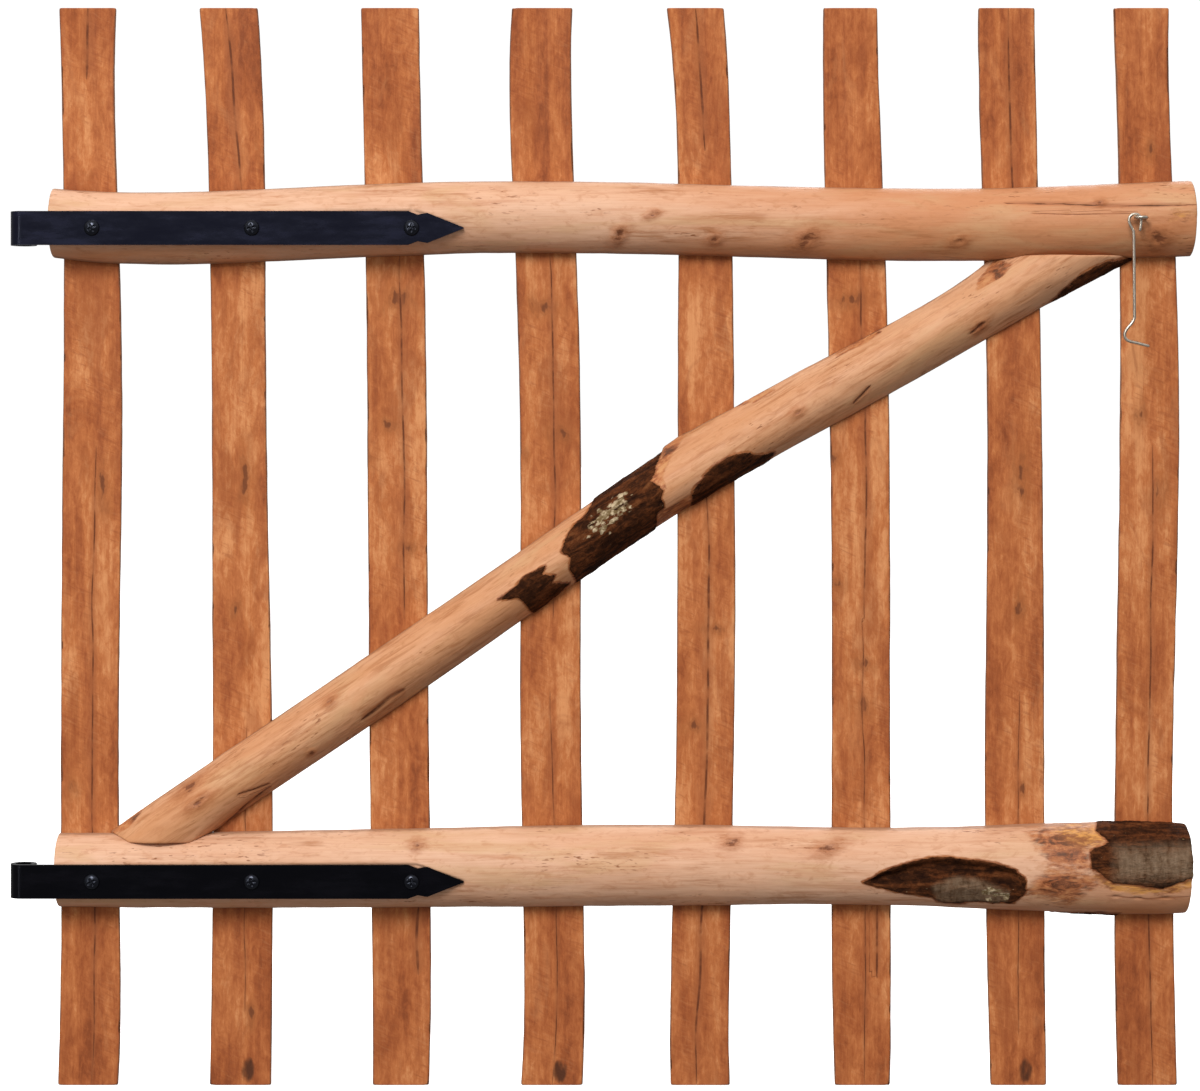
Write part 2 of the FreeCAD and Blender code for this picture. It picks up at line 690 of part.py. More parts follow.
# ------------------------------------------------------------------- assembly
def build():
    """Make every sub-part and return them in the order they are written."""
    fill_sheet()
    top_rail = make_rail("top_rail", TOP_RAIL_FORM)
    bore_for_hook_eye(top_rail)
    parts = [top_rail, make_rail("bottom_rail", BOTTOM_RAIL_FORM), make_brace()]
    parts += [make_picket(index) for index in range(len(PICKETS))]
    parts.append(make_strap("upper_strap_hinge", "sizes.hinge_spacing"))
    parts.append(make_strap("lower_strap_hinge", "0"))
    nail = nail_blank()
    screw = screw_blank()
    parts += [make_nails(index, nail) for index in range(len(PICKETS))]
    parts.append(make_screws("upper_strap_screws", screw, size("hinge_spacing")))
    parts.append(make_screws("lower_strap_screws", screw, 0.0))
    parts.append(make_hook_eye())
    parts.append(make_hook())
    DOC.recompute()
    return parts


def check(parts):
    """Stop if any object of the document failed or any sub-part is not sound."""
    for item in DOC.Objects:
        if {"Invalid", "Error"} & set(item.State):
            raise ValueError(f"{item.Label} did not build: {item.State}")
    for part in parts:
        if part.Shape.isNull() or not part.Shape.isValid():
            raise ValueError(f"{part.Label} has no sound shape")


def write(parts):
    os.makedirs("parts", exist_ok=True)
    for part in parts:
        part.Shape.exportStep(os.path.join("parts", f"{part.Label}.step"))
        print(f"{part.Label}: {len(part.Shape.Solids)} solid(s), {part.Shape.Volume:.0f} mm3")


sub_parts = build()
check(sub_parts)
write(sub_parts)
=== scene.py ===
"""Looks of the split-pole garden gate: peeled rails and brace with bark left in patches,
sawn pickets, black strap hinges and a zinc cabin hook.

Metres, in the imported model's frame.  Marks on the wood are in millimetres.  Each piece of
wood is one closed skin, read off its CAD node row by row: every row runs over the round
side and back across the sawn flat.
"""
import json
import math

import bmesh
import bpy
import numpy as np
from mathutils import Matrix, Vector
from mathutils.bvhtree import BVHTree


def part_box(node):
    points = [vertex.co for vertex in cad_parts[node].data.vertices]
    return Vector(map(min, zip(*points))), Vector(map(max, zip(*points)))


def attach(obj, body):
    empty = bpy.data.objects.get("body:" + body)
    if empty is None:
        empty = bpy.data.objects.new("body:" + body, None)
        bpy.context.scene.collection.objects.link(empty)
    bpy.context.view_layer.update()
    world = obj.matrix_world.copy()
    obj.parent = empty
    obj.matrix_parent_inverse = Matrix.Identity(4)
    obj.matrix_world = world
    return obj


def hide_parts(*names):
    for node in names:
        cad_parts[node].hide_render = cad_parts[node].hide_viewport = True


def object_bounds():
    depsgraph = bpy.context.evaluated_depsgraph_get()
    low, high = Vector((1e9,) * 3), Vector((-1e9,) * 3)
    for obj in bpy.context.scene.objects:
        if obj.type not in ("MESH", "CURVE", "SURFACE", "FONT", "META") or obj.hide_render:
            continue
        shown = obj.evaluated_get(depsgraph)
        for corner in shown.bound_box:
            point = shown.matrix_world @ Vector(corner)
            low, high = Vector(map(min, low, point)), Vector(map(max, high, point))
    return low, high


MM = 0.001
X, Y, Z = Vector((1, 0, 0)), Vector((0, 1, 0)), Vector((0, 0, 1))

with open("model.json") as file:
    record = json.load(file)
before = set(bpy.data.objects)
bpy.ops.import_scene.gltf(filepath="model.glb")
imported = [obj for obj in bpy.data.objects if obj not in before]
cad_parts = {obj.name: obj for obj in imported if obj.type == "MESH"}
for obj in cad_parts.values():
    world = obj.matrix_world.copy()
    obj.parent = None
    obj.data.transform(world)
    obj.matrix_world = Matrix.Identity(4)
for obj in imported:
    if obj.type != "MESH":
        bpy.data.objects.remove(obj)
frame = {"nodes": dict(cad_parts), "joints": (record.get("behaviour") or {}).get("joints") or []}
cad_low, cad_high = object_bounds()
gate_middle = (cad_low + cad_high) / 2


# ---- fields
NOISE_CELLS = 97


def noise(u, v, seed):
    """Smooth noise from -1 to 1 over a plane, one cell to a unit."""
    table = np.random.default_rng(seed).uniform(-1, 1, (NOISE_CELLS, NOISE_CELLS))
    column, row = np.floor(u).astype(int), np.floor(v).astype(int)
    s, t = u - column, v - row
    s, t = s * s * (3 - 2 * s), t * t * (3 - 2 * t)
    here, right = column % NOISE_CELLS, (column + 1) % NOISE_CELLS
    low, high = row % NOISE_CELLS, (row + 1) % NOISE_CELLS
    bottom = table[here, low] * (1 - s) + table[right, low] * s
    top = table[here, high] * (1 - s) + table[right, high] * s
    return bottom * (1 - t) + top * t


def fractal(u, v, seed):
    """Noise with finer and fainter noise on it, still roughly from -1 to 1."""
    total = np.zeros_like(u)
    for octave in range(3):
        total += noise(u * 2 ** octave, v * 2 ** octave, seed + octave) / 2 ** octave
    return total / 1.5


def ramp(value, low, high):
    """0 below low, 1 above high, and a smooth step between."""
    share = np.clip((value - low) / (high - low), 0, 1)
    return share * share * (3 - 2 * share)


def from_stretch(x, z, start, end):
    """Distance from a straight stretch, in mm, and the share of the way along it."""
    run, rise = end - start
    right, up = x - start[0], z - start[1]
    share = np.clip((right * run + up * rise) / (run * run + rise * rise), 0, 1)
    return np.hypot(right - share * run, up - share * rise), share


def inside(x, z, outline):
    """Distance in from a closed outline, in mm: below zero outside it."""
    nearest = np.full(x.shape, 1e6)
    within = np.zeros(x.shape, bool)
    corners = np.array(outline, float)
    for start, end in zip(corners, np.roll(corners, -1, axis=0)):
        nearest = np.minimum(nearest, from_stretch(x, z, start, end)[0])
        run, rise = end - start
        crossed = (start[1] > z) != (end[1] > z)
        within ^= crossed & (x < start[0] + (z - start[1]) * run / (rise or 1e-9))
    return np.where(within, nearest, -nearest)


def across_line(x, z, points):
    """Signed distance from an open line, in mm, and the share of the way along it."""
    best, side, way = np.full(x.shape, 1e6), np.ones(x.shape), np.zeros(x.shape)
    spots = np.array(points, float)
    for number, (start, end) in enumerate(zip(spots[:-1], spots[1:])):
        gap, share = from_stretch(x, z, start, end)
        closer = gap < best
        best = np.where(closer, gap, best)
        run, rise = end - start
        turn = run * (z - start[1]) - rise * (x - start[0])
        side = np.where(closer, np.where(turn < 0, -1.0, 1.0), side)
        way = np.where(closer, (number + share) / (len(spots) - 1), way)
    return best * side, way


# ---- split poles
PROBE = 0.4 * MM  # how far inside the flat and the ends the CAD surface is read
REACH = 0.6  # where the reading rays start from
FIRST_ANGLE = 0.05  # radians between the flat and the first point of the round side
ARRIS = 0.6 * MM  # flat on the sawn corners
END_ROWS = ((0.0, 0.9), (0.4, 0.35), (1.0, 0.08), (2.0, 0.0))  # mm in from the end, inset
MEETING_GAP = 0.3 * MM  # between a shaped end and the wood it meets
SEAT_RUNOUT = 48 * MM  # from the strap's tip to where its planed seat has run out
STRAP_TIP_SLOPE = 0.36  # half width of the strap's point against the distance from its tip
STRAP_EDGE = (-0.2, 1.2)  # mm beside the strap over which the planed seat turns round
SEAT_FLATNESS = 0.2  # mm: how level a row's planed seat is
STRAP_COVER = 5.5 * MM  # the relief is kept low this far behind the straps' fronts
STRAP_RELIEF = 0.15  # share of the relief that is left there
STAND_BACK = 5 * MM  # where the rays that look for the meeting wood start
MEETING_REACH = 50 * MM
CROWN_CENTRE = 0.3  # the round side faces away from this share of the depth
GRAIN_SHIFT = 7  # metres along the grain from one piece of wood to the next
CAP_RINGS = (0.93, 0.8, 0.64, 0.48, 0.32, 0.16)


def surface_of(node):
    """A CAD node's surface, for rays to hit."""
    mesh = frame["nodes"][node].data
    faces = [face.vertices for face in mesh.polygons]
    return BVHTree.FromPolygons([v.co for v in mesh.vertices], faces)


def add_object(name, data):
    thing = bpy.data.objects.new(name, data)
    bpy.context.scene.collection.objects.link(thing)
    return thing


def add_solid(name, mesh):
    """The object of a closed mesh, with every face turned outward."""
    work = bmesh.new()
    work.from_mesh(mesh)
    bmesh.ops.recalc_face_normals(work, faces=work.faces)
    work.to_mesh(mesh)
    work.free()
    return add_object(name, mesh)


class Pole:
    """A half-round piece of wood, as rows of points read off its CAD node."""

    def __init__(self, node, along, across, outward, step, round_count, flat_count):
        self.node, self.along, self.across, self.outward = node, along, across, outward
        self.tree = surface_of(node)
        self.low, self.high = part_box(node)
        self.flat_level = min(self.low.dot(outward), self.high.dot(outward))
        self.depth = abs((self.high - self.low).dot(outward))
        self.round_count, self.flat_count = round_count, flat_count
        start, end = self.low.dot(along), self.high.dot(along)
        count = round((end - start) / step)
        rows = [(start + offset * MM, inset * MM) for offset, inset in END_ROWS]
        rows += [(start + (end - start) * k / count, 0.0) for k in range(2, count - 1)]
        rows += [(end - offset * MM, inset * MM) for offset, inset in reversed(END_ROWS)]
        self.points, self.middle = [], []
        for place, inset in rows:
            self.read_row(place, inset, start + PROBE, end - PROBE)
        self.points, self.middle = np.array(self.points), np.array(self.middle)
        self.grain_axis = along

    def hit(self, start, direction, fallback):
        """Distance from start to the CAD surface."""
        place, _, _, distance = self.tree.ray_cast(start, direction, 2 * REACH)
        return fallback if place is None else distance

    def read_row(self, place, inset, first, last):
        """Adds one row of points, read no nearer to the ends than first and last."""
        level = self.along * min(max(place, first), last)
        probe = level + self.outward * (self.flat_level + PROBE)
        middle = (self.low + self.high).dot(self.across) / 2
        centre = probe + self.across * middle
        far = centre + self.across * REACH
        plus = middle + REACH - self.hit(far, -self.across, REACH)
        near = centre - self.across * REACH
        minus = middle - REACH + self.hit(near, self.across, REACH)
        middle, half = (plus + minus) / 2, (plus - minus) / 2
        base = level + self.outward * self.flat_level + self.across * middle
        row = []
        for k in range(self.round_count):
            turn = FIRST_ANGLE + (math.pi - 2 * FIRST_ANGLE) * k / (self.round_count - 1)
            towards = self.across * math.cos(turn) * half
            towards = (towards + self.outward * math.sin(turn) * self.depth).normalized()
            reach = REACH - self.hit(base + towards * REACH, -towards, REACH - half)
            row.append(base + towards * (reach - inset))
        for k in range(self.flat_count):
            share = 2 * k / (self.flat_count - 1) - 1
            offset = share * (half - ARRIS - inset)
            row.append(base + self.across * offset + self.outward * inset * abs(share) ** 12)
        shift = self.along * (place - level.dot(self.along))
        self.points.append([tuple(point + shift) for point in row])
        self.middle.append(tuple(base + shift))

    def place(self):
        """Where each point is: mm right and up from the box's low corner."""
        return ((self.points[..., 0] - self.low.x) / MM, (self.points[..., 2] - self.low.z) / MM)

    def from_middle(self, axis):
        """Distance from the middle of the flat along an axis, in mm, with its sign."""
        return (self.points - self.middle[:, None, :]) @ np.array(axis) / MM

    def on_round(self):
        """True on the round side, False on the sawn flat."""
        sides = np.arange(self.round_count + self.flat_count) < self.round_count
        return np.broadcast_to(sides, self.points.shape[:2])

    def to_arris(self):
        """Distance to the nearer long edge of the flat, in mm."""
        off = np.abs(self.from_middle(self.across))
        return off.max(axis=1, keepdims=True) - off

    def raise_by(self, height):
        """Moves each point out from the surface by its height, in mm."""
        ahead = np.gradient(self.points, axis=0)
        around = np.roll(self.points, -1, axis=1) - np.roll(self.points, 1, axis=1)
        out = np.cross(ahead, around)
        out /= np.linalg.norm(out, axis=2, keepdims=True) + 1e-12
        centre = CROWN_CENTRE * self.depth * np.array(self.outward)
        radial = self.points - self.middle[:, None, :] - centre
        out *= np.where((out * radial).sum(axis=2, keepdims=True) < 0, -1, 1)
        self.points = self.points + out * (height * MM)[..., None]

    def meet(self, node, way, most, blend):
        """Lengthens the last rows at one end, along way, until they meet another piece of wood."""
        other = surface_of(node)
        end = (self.high if way.z > 0 else self.low).z
        for row in range(len(self.middle)):
            share = 1 - abs(self.middle[row][2] - end) / blend
            if share <= 0:
                continue
            for column in range(self.points.shape[1]):
                point = Vector(self.points[row, column])
                start = point + way * ((end - point.z) / way.z - STAND_BACK)
                place, _, _, distance = other.ray_cast(start, way, MEETING_REACH)
                gap = most if place is None else distance - STAND_BACK - MEETING_GAP
                moved = point + way * min(max(gap, 0), most) * share ** 2
                self.points[row, column] = moved

    def round_over_seat(self, strap):
        """Makes the planed seat round again wherever the strap doesn't cover it."""
        out, across = self.from_middle(self.outward), self.from_middle(self.across)
        half = np.abs(across).max(axis=1)
        low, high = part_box(strap)
        centre = (low.z + high.z) / 2
        from_centre = np.abs(self.points[..., 2] - centre) / MM
        to_tip = (high.x - self.points[..., 0]) / MM
        beside = np.maximum(from_centre - (high.z - low.z) / 2 / MM,
                            from_centre - STRAP_TIP_SLOPE * to_tip)
        bare = ramp(beside, *STRAP_EDGE)
        for row in np.flatnonzero(self.middle[:, 0] < high.x + SEAT_RUNOUT):
            seat = np.flatnonzero(out[row] > out[row].max() - SEAT_FLATNESS)
            depths = [out[row, k] / math.sqrt(1 - (across[row, k] / half[row]) ** 2)
                      for k in (seat[0] - 1, seat[-1] + 1)]
            for k in seat:
                crown = sum(depths) / 2 * math.sqrt(1 - (across[row, k] / half[row]) ** 2)
                lift = max(crown - out[row, k], 0) * bare[row, k]
                self.points[row, k] += np.array(self.outward) * lift * MM

    def build(self, name, fields, materials, seed, body="gate_leaf"):
        """The closed mesh, with its fields as point attributes, riding on its body."""
        rows, width = self.points.shape[:2]
        points = [self.points.reshape(-1, 3)]
        fields, names = np.stack(list(fields.values())), list(fields)
        values = [fields.reshape(len(names), -1)]
        index = np.arange(rows * width).reshape(rows, width)
        beside = np.roll(index, -1, axis=1)
        skin = np.stack([index[:-1], beside[:-1], beside[1:], index[1:]], axis=-1)
        quads = [skin.reshape(-1, 4)]
        on_round = self.on_round() & np.roll(self.on_round(), -1, axis=1)
        slots = [np.where(on_round[:-1], 0, 1).reshape(-1)]
        tips = []
        used = rows * width
        for row in (0, rows - 1):
            heart = self.points[row].mean(axis=0)
            ring = index[row]
            for share in CAP_RINGS:
                points.append(heart + (self.points[row] - heart) * share)
                values.append(fields[:, row])
                inner = np.arange(used, used + width)
                quads.append(np.stack([ring, inner, np.roll(inner, -1), np.roll(ring, -1)], -1))
                slots.append(np.full(width, 2))
                used += width
                ring = inner
            points.append(heart[None, :])
            values.append(fields[:, row].mean(axis=1, keepdims=True))
            tips.append((ring, used))
            used += 1
        triangles = [(int(a), int(b), tip) for ring, tip in tips
                     for a, b in zip(ring, np.roll(ring, -1))]
        points = np.concatenate(points)
        mesh = bpy.data.meshes.new(name)
        mesh.from_pydata(points.tolist(), [], np.concatenate(quads).tolist() + triangles)
        material_of = np.concatenate(slots + [np.full(len(triangles), 2)])
        mesh.polygons.foreach_set("material_index", material_of.astype(np.int32))
        mesh.polygons.foreach_set("use_smooth", np.ones(len(material_of), bool))
        for key, numbers in zip(names, np.concatenate(values, axis=1).astype(np.float32)):
            layer = mesh.attributes.new(key, "FLOAT", "POINT")
            layer.data.foreach_set("value", numbers)
        relative = points - self.middle[rows // 2]
        axes = (self.grain_axis, self.grain_axis.cross(self.outward), self.outward)
        grain = np.stack([relative @ np.array(axis) for axis in axes], axis=-1)
        grain[:, 0] += GRAIN_SHIFT * seed
        layer = mesh.attributes.new("grain", "FLOAT_VECTOR", "POINT")
        layer.data.foreach_set("vector", grain.astype(np.float32).reshape(-1))
        for material in materials:
            mesh.materials.append(material)
        mesh.update()
        thing = add_solid(name, mesh)
        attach(thing, body)
        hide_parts(self.node)
        return thing


# ---- materials
class Graph:
    """A node tree, with a short call for each kind of node used here."""

    def __init__(self, owner):
        """Takes the tree of a new material, or of the world."""
        owner.use_nodes = True
        self.owner, self.nodes, self.links = owner, owner.node_tree.nodes, owner.node_tree.links
        self.place = None          # where a point is, for the noise

    def feed(self, socket, value):
        if isinstance(value, bpy.types.NodeSocket):
            self.links.new(value, socket)
        elif isinstance(value, tuple) and len(value) == 3 and socket.type == "RGBA":
            socket.default_value = (*value, 1.0)
        else:
            socket.default_value = value

    def node(self, kind, sockets, **settings):
        """Adds a node, makes its settings, and feeds its sockets by name or number."""
        node = self.nodes.new("ShaderNode" + kind)
        for name, value in settings.items():
            setattr(node, name, value)
        for key, value in sockets.items():
            self.feed(node.inputs[key], value)
        return node

    def attribute(self, name, output="Fac"):
        return self.node("Attribute", {}, attribute_name=name).outputs[output]

    def stretched(self, scale, turn=0.0):
        """The place turned about its third axis, then scaled along each."""
        vector = self.place
        if turn:
            sockets = {"Vector": vector, "Angle": turn}
            vector = self.node("VectorRotate", sockets, rotation_type="Z_AXIS").outputs[0]
        return self.node("Mapping", {"Vector": vector, "Scale": scale}).outputs[0]

    def noise(self, scale, detail=3.0, roughness=0.55, distortion=0.0, turn=0.0):
        sockets = {"Vector": self.stretched(scale, turn), "Scale": 1.0, "Detail": detail,
                   "Roughness": roughness, "Distortion": distortion}
        return self.node("TexNoise", sockets).outputs["Fac"]

    def cells(self, scale):
        sockets = {"Vector": self.stretched(scale), "Scale": 1.0}
        return self.node("TexVoronoi", sockets).outputs["Distance"]

    def math(self, operation, *values):
        return self.node("Math", dict(enumerate(values)), operation=operation).outputs[0]

    def add(self, first, second):
        return self.math("ADD", first, second)

    def minus(self, first, second):
        return self.math("SUBTRACT", first, second)

    def times(self, first, second):
        return self.math("MULTIPLY", first, second)

    def step(self, value, low, high, to_low=0.0, to_high=1.0):
        """A smooth step from to_low at low to to_high at high."""
        sockets = {"Value": value, "From Min": low, "From Max": high, "To Min": to_low,
                   "To Max": to_high}
        return self.node("MapRange", sockets, interpolation_type="SMOOTHSTEP").outputs[0]

    def blend(self, share, first, second, mode="MIX"):
        sockets = {0: share, 6: first, 7: second}
        return self.node("Mix", sockets, data_type="RGBA", blend_type=mode).outputs[2]

    def colours(self, value, *stops):
        node = self.node("ValToRGB", {0: value})
        band = node.color_ramp
        while len(band.elements) < len(stops):
            band.elements.new(0.5)
        for element, (place, colour) in zip(band.elements, stops):
            element.position = place
            element.color = (*colour, 1.0)
        return node.outputs[0]

    def bump(self, height, distance, strength, **under):
        sockets = {"Height": height, "Distance": distance, "Strength": strength, **under}
        return self.node("Bump", sockets).outputs[0]

    def finish(self, colour, roughness, **others):
        """Feeds the material's shader, and returns the material."""
        sockets = {"Base Color": colour, "Roughness": roughness}
        sockets.update((name.replace("_", " "), value) for name, value in others.items())
        for name, value in sockets.items():
            self.feed(self.nodes["Principled BSDF"].inputs[name], value)
        return self.owner


def on_wood(name):
    """A new material's graph, placed by the wood's own grain."""
    g = Graph(bpy.data.materials.new(name))
    g.place = g.attribute("grain", "Vector")
    return g


def in_space(name):
    """A new material's graph, placed in the model's space."""
    g = Graph(bpy.data.materials.new(name))
    g.place = g.node("TexCoord", {}).outputs["Object"]
    return g


KNOT_BROWN = (0.145, 0.040, 0.013)
CRACK_BROWN = (0.070, 0.019, 0.006)
SAW_SLANT = math.radians(24)


def add_knots(g, colour, jitter):
    """A warm smudge round each knot, faint rings in it, and a dark heart."""
    knot = g.add(g.attribute("knot"), g.times(jitter, 4.5))
    colour = g.blend(g.step(knot, 0.8, 3.6, 0.55, 0.0), colour, (0.36, 0.110, 0.030))
    rings = g.math("SINE", g.times(knot, 7.0))
    ringed = g.times(g.step(knot, 1.9, 0.8), g.step(rings, -1.0, 1.0, 0.1, 0.35))
    colour = g.blend(ringed, colour, (0.22, 0.062, 0.018))
    return g.blend(g.step(knot, 0.95, 0.10, 0.0, 0.85), colour, KNOT_BROWN)


def add_cracks(g, colour, jitter, brown=CRACK_BROWN):
    """Dark lines where the crack field crosses zero, and how dark they are."""
    gap = g.math("ABSOLUTE", g.add(g.attribute("crack"), g.times(jitter, 0.9)))
    near = g.math("DIVIDE", gap, g.math("MAXIMUM", g.attribute("crack_width"), 0.001))
    fading = g.step(g.noise((38, 1, 1), 3), 0.38, 0.58, 0.15, 0.9)
    dark = g.times(g.step(near, 1.1, 0.30), fading)
    shade = g.step(near, 6.0, 0.5, 0.0, 0.55)
    colour = g.blend(shade, colour, (0.32, 0.095, 0.030))
    return g.blend(dark, colour, brown), dark


def sawn_wood(name, tint):
    """The flat of a picket: orange heartwood with a pith line and slanting saw marks."""
    g = on_wood(name)
    streaks = g.noise((3.5, 85, 60), 5, 0.6, 0.4)
    blotches = g.noise((9, 24, 24), 3, 0.55, 0.5)
    fibres = g.noise((22, 900, 700), 3, 0.6)
    jitter = g.minus(g.noise((60, 160, 160), 2), 0.5)
    figure = g.noise((80, 190, 180), 6, 0.72, 0.4)
    body = g.add(g.times(streaks, 0.45), g.times(blotches, 0.40))
    body = g.add(body, g.times(g.attribute("tone_and_shade"), 0.22))
    body = g.add(body, g.times(figure, 0.54))
    colour = g.colours(body, (0.48, (0.235, 0.056, 0.014)), (0.60, (0.36, 0.097, 0.026)),
                       (0.72, (0.48, 0.154, 0.046)), (0.85, (0.64, 0.270, 0.105)))
    smudge = g.noise((12, 34, 30), 4, 0.62, 1.0)
    colour = g.blend(g.step(smudge, 0.50, 0.66, 0.0, 0.45), colour, (0.27, 0.066, 0.017))
    colour = g.blend(g.step(smudge, 0.44, 0.30, 0.0, 0.25), colour, (0.56, 0.235, 0.090))
    colour = g.blend(g.step(fibres, 0.35, 0.65, 0.0, 0.45), colour, tint, "MULTIPLY")
    saw = g.noise((430, 62, 60), 2, 0.5, 0.8, SAW_SLANT)
    patches = g.step(g.noise((11, 38, 20), 2), 0.44, 0.62)
    scars = g.times(g.step(saw, 0.52, 0.70), patches)
    colour = g.blend(g.times(scars, 0.40), colour, (0.25, 0.060, 0.018))
    pale_scars = g.times(g.step(saw, 0.46, 0.30), patches)
    colour = g.blend(g.times(pale_scars, 0.10), colour, (0.66, 0.32, 0.14))
    colour = add_knots(g, colour, jitter)
    colour, dark = add_cracks(g, colour, jitter, (0.105, 0.024, 0.007))
    rim = g.add(g.attribute("edge"), g.times(jitter, 2.0))
    colour = g.blend(g.step(rim, 1.6, 0.3, 0.0, 0.75), colour, (0.145, 0.070, 0.042))
    stain = g.add(g.attribute("stain"), g.times(jitter, 0.8))
    colour = g.blend(g.step(stain, 0.35, 0.75), colour, (0.085, 0.024, 0.008))
    height = g.minus(g.add(g.times(saw, 0.6), g.times(fibres, 0.5)), dark)
    return g.finish(colour, g.step(streaks, 0.3, 0.7, 0.70, 0.82), Normal=g.bump(height, 0.0005, 0.7),
                    Specular_IOR_Level=0.25)


def peeled_wood(name, pale, warm, worn):
    """The round side of a pole: smooth sapwood, and bark, torn bast and lichen on it."""
    g = on_wood(name)
    broad = g.noise((5, 26, 26), 4, 0.6, 0.6)
    streaks = g.noise((9, 150, 150), 5, 0.65, 0.3)
    fibres = g.noise((30, 1000, 1000), 2, 0.6)
    mottle = g.noise((75, 150, 150), 4, 0.65, 0.8)
    jitter = g.minus(g.noise((90, 260, 260), 4, 0.65), 0.5)
    # The field read here is the wood's own tone, and on the rails also painted shade along their lower
    # side.
    mix = g.add(g.attribute("tone_and_shade"), g.times(g.minus(broad, 0.5), 1.5))
    colour = g.blend(g.step(mix, -0.15, 1.15), pale, warm)
    sandy = g.noise((7, 30, 30), 3, 0.6, 0.8)
    colour = g.blend(g.step(sandy, 0.48, 0.68, 0.0, 0.55), colour, (0.56, 0.330, 0.165))
    colour = g.blend(g.step(streaks, 0.50, 0.74, 0.0, 0.45), colour, (0.42, 0.155, 0.060))
    weathered = g.step(g.noise((8, 34, 34), 3, 0.6, 0.5), worn, worn + 0.16)
    brushed = g.noise((24, 230, 230), 4, 0.7, 0.4)
    brushed = g.times(g.step(brushed, 0.46, 0.66, 0.0, 0.7), weathered)
    colour = g.blend(brushed, colour, (0.36, 0.135, 0.048))
    colour = g.blend(g.step(mottle, 0.52, 0.70, 0.0, 0.38), colour, (0.42, 0.165, 0.065))
    colour = g.blend(g.step(fibres, 0.40, 0.62, 0.0, 0.16), colour, (0.45, 0.17, 0.07))
    flecks = g.noise((130, 520, 520), 2, 0.5)
    rough_skin = g.step(g.noise((14, 40, 40), 3), 0.50, 0.68)
    flecks = g.times(g.step(flecks, 0.60, 0.70), rough_skin)
    colour = g.blend(flecks, colour, (0.24, 0.080, 0.026))
    colour = add_knots(g, colour, jitter)
    colour, dark = add_cracks(g, colour, jitter)
    rim = g.add(g.attribute("edge"), g.times(jitter, 2.5))
    colour = g.blend(g.step(rim, 2.2, 0.4, 0.0, 0.6), colour, (0.22, 0.095, 0.045))

    torn = g.add(g.attribute("torn"), g.times(jitter, 1.5))
    shreds = g.add(g.times(0.62, g.noise((34, 75, 75), 6, 0.6, 1.2)),
                   g.times(0.38, g.noise((90, 220, 220), 5, 0.68, 1.2)))
    bast = g.colours(shreds, (0.40, (0.075, 0.020, 0.007)), (0.46, (0.25, 0.068, 0.020)),
                     (0.52, (0.42, 0.145, 0.050)), (0.62, (0.56, 0.260, 0.105)))
    golden = g.blend(g.step(shreds, 0.43, 0.57), (0.22, 0.066, 0.015), (0.60, 0.270, 0.060))
    bast = g.blend(g.attribute("gold"), bast, golden)
    colour = g.blend(g.step(torn, 0.15, 0.75, 0.0, 0.92), colour, bast)

    ragged = g.add(g.attribute("bark"), g.times(jitter, 5.0))
    rind = g.blend(g.step(shreds, 0.4, 0.6), (0.20, 0.055, 0.016), (0.36, 0.125, 0.038))
    colour = g.blend(g.step(ragged, -2.4, -0.9), colour, rind)
    crust = g.noise((160, 240, 240), 6, 0.7, 0.5)
    ridges = g.noise((26, 130, 130), 4, 0.6, 0.7)
    rough = g.add(g.times(crust, 0.45), g.times(ridges, 0.55))
    bark = g.colours(rough, (0.34, (0.010, 0.003, 0.002)), (0.47, (0.040, 0.013, 0.005)),
                     (0.57, (0.115, 0.034, 0.011)), (0.68, (0.20, 0.076, 0.027)))
    dashes = g.noise((230, 70, 70), 5, 0.62, 0.4)
    dashes = g.add(g.times(dashes, 0.6), g.times(crust, 0.4))
    grey = g.colours(dashes, (0.34, (0.050, 0.024, 0.011)), (0.44, (0.150, 0.088, 0.050)),
                     (0.62, (0.245, 0.162, 0.102)))
    bark = g.blend(g.attribute("grey"), bark, grey)
    spots = g.cells((190, 230, 230))
    lichen = g.minus(g.attribute("lichen"), g.times(spots, 1.15))
    lichen = g.add(lichen, g.times(jitter, 2.2))
    cream = g.blend(g.step(crust, 0.42, 0.6), (0.17, 0.110, 0.048), (0.60, 0.47, 0.300))
    bark = g.blend(g.step(lichen, 0.08, 0.40), bark, cream)
    on_bark = g.step(ragged, -0.5, 0.4)
    colour = g.blend(on_bark, colour, bark)

    skin = g.minus(g.times(g.add(streaks, fibres), 0.35), g.times(dark, 0.8))
    skin = g.minus(skin, g.times(g.step(torn, 0.2, 0.7, 0.0, 1.6), shreds))
    normal = g.bump(skin, 0.0006, 0.6)
    rugged = g.times(g.add(crust, ridges), on_bark)
    normal = g.bump(rugged, 0.0035, 0.9, Normal=normal)
    roughness = g.add(g.step(mottle, 0.3, 0.7, 0.52, 0.66), g.times(on_bark, 0.22))
    shine = g.step(on_bark, 0.0, 1.0, 0.28, 0.05)
    return g.finish(colour, roughness, Normal=normal, Specular_IOR_Level=shine)


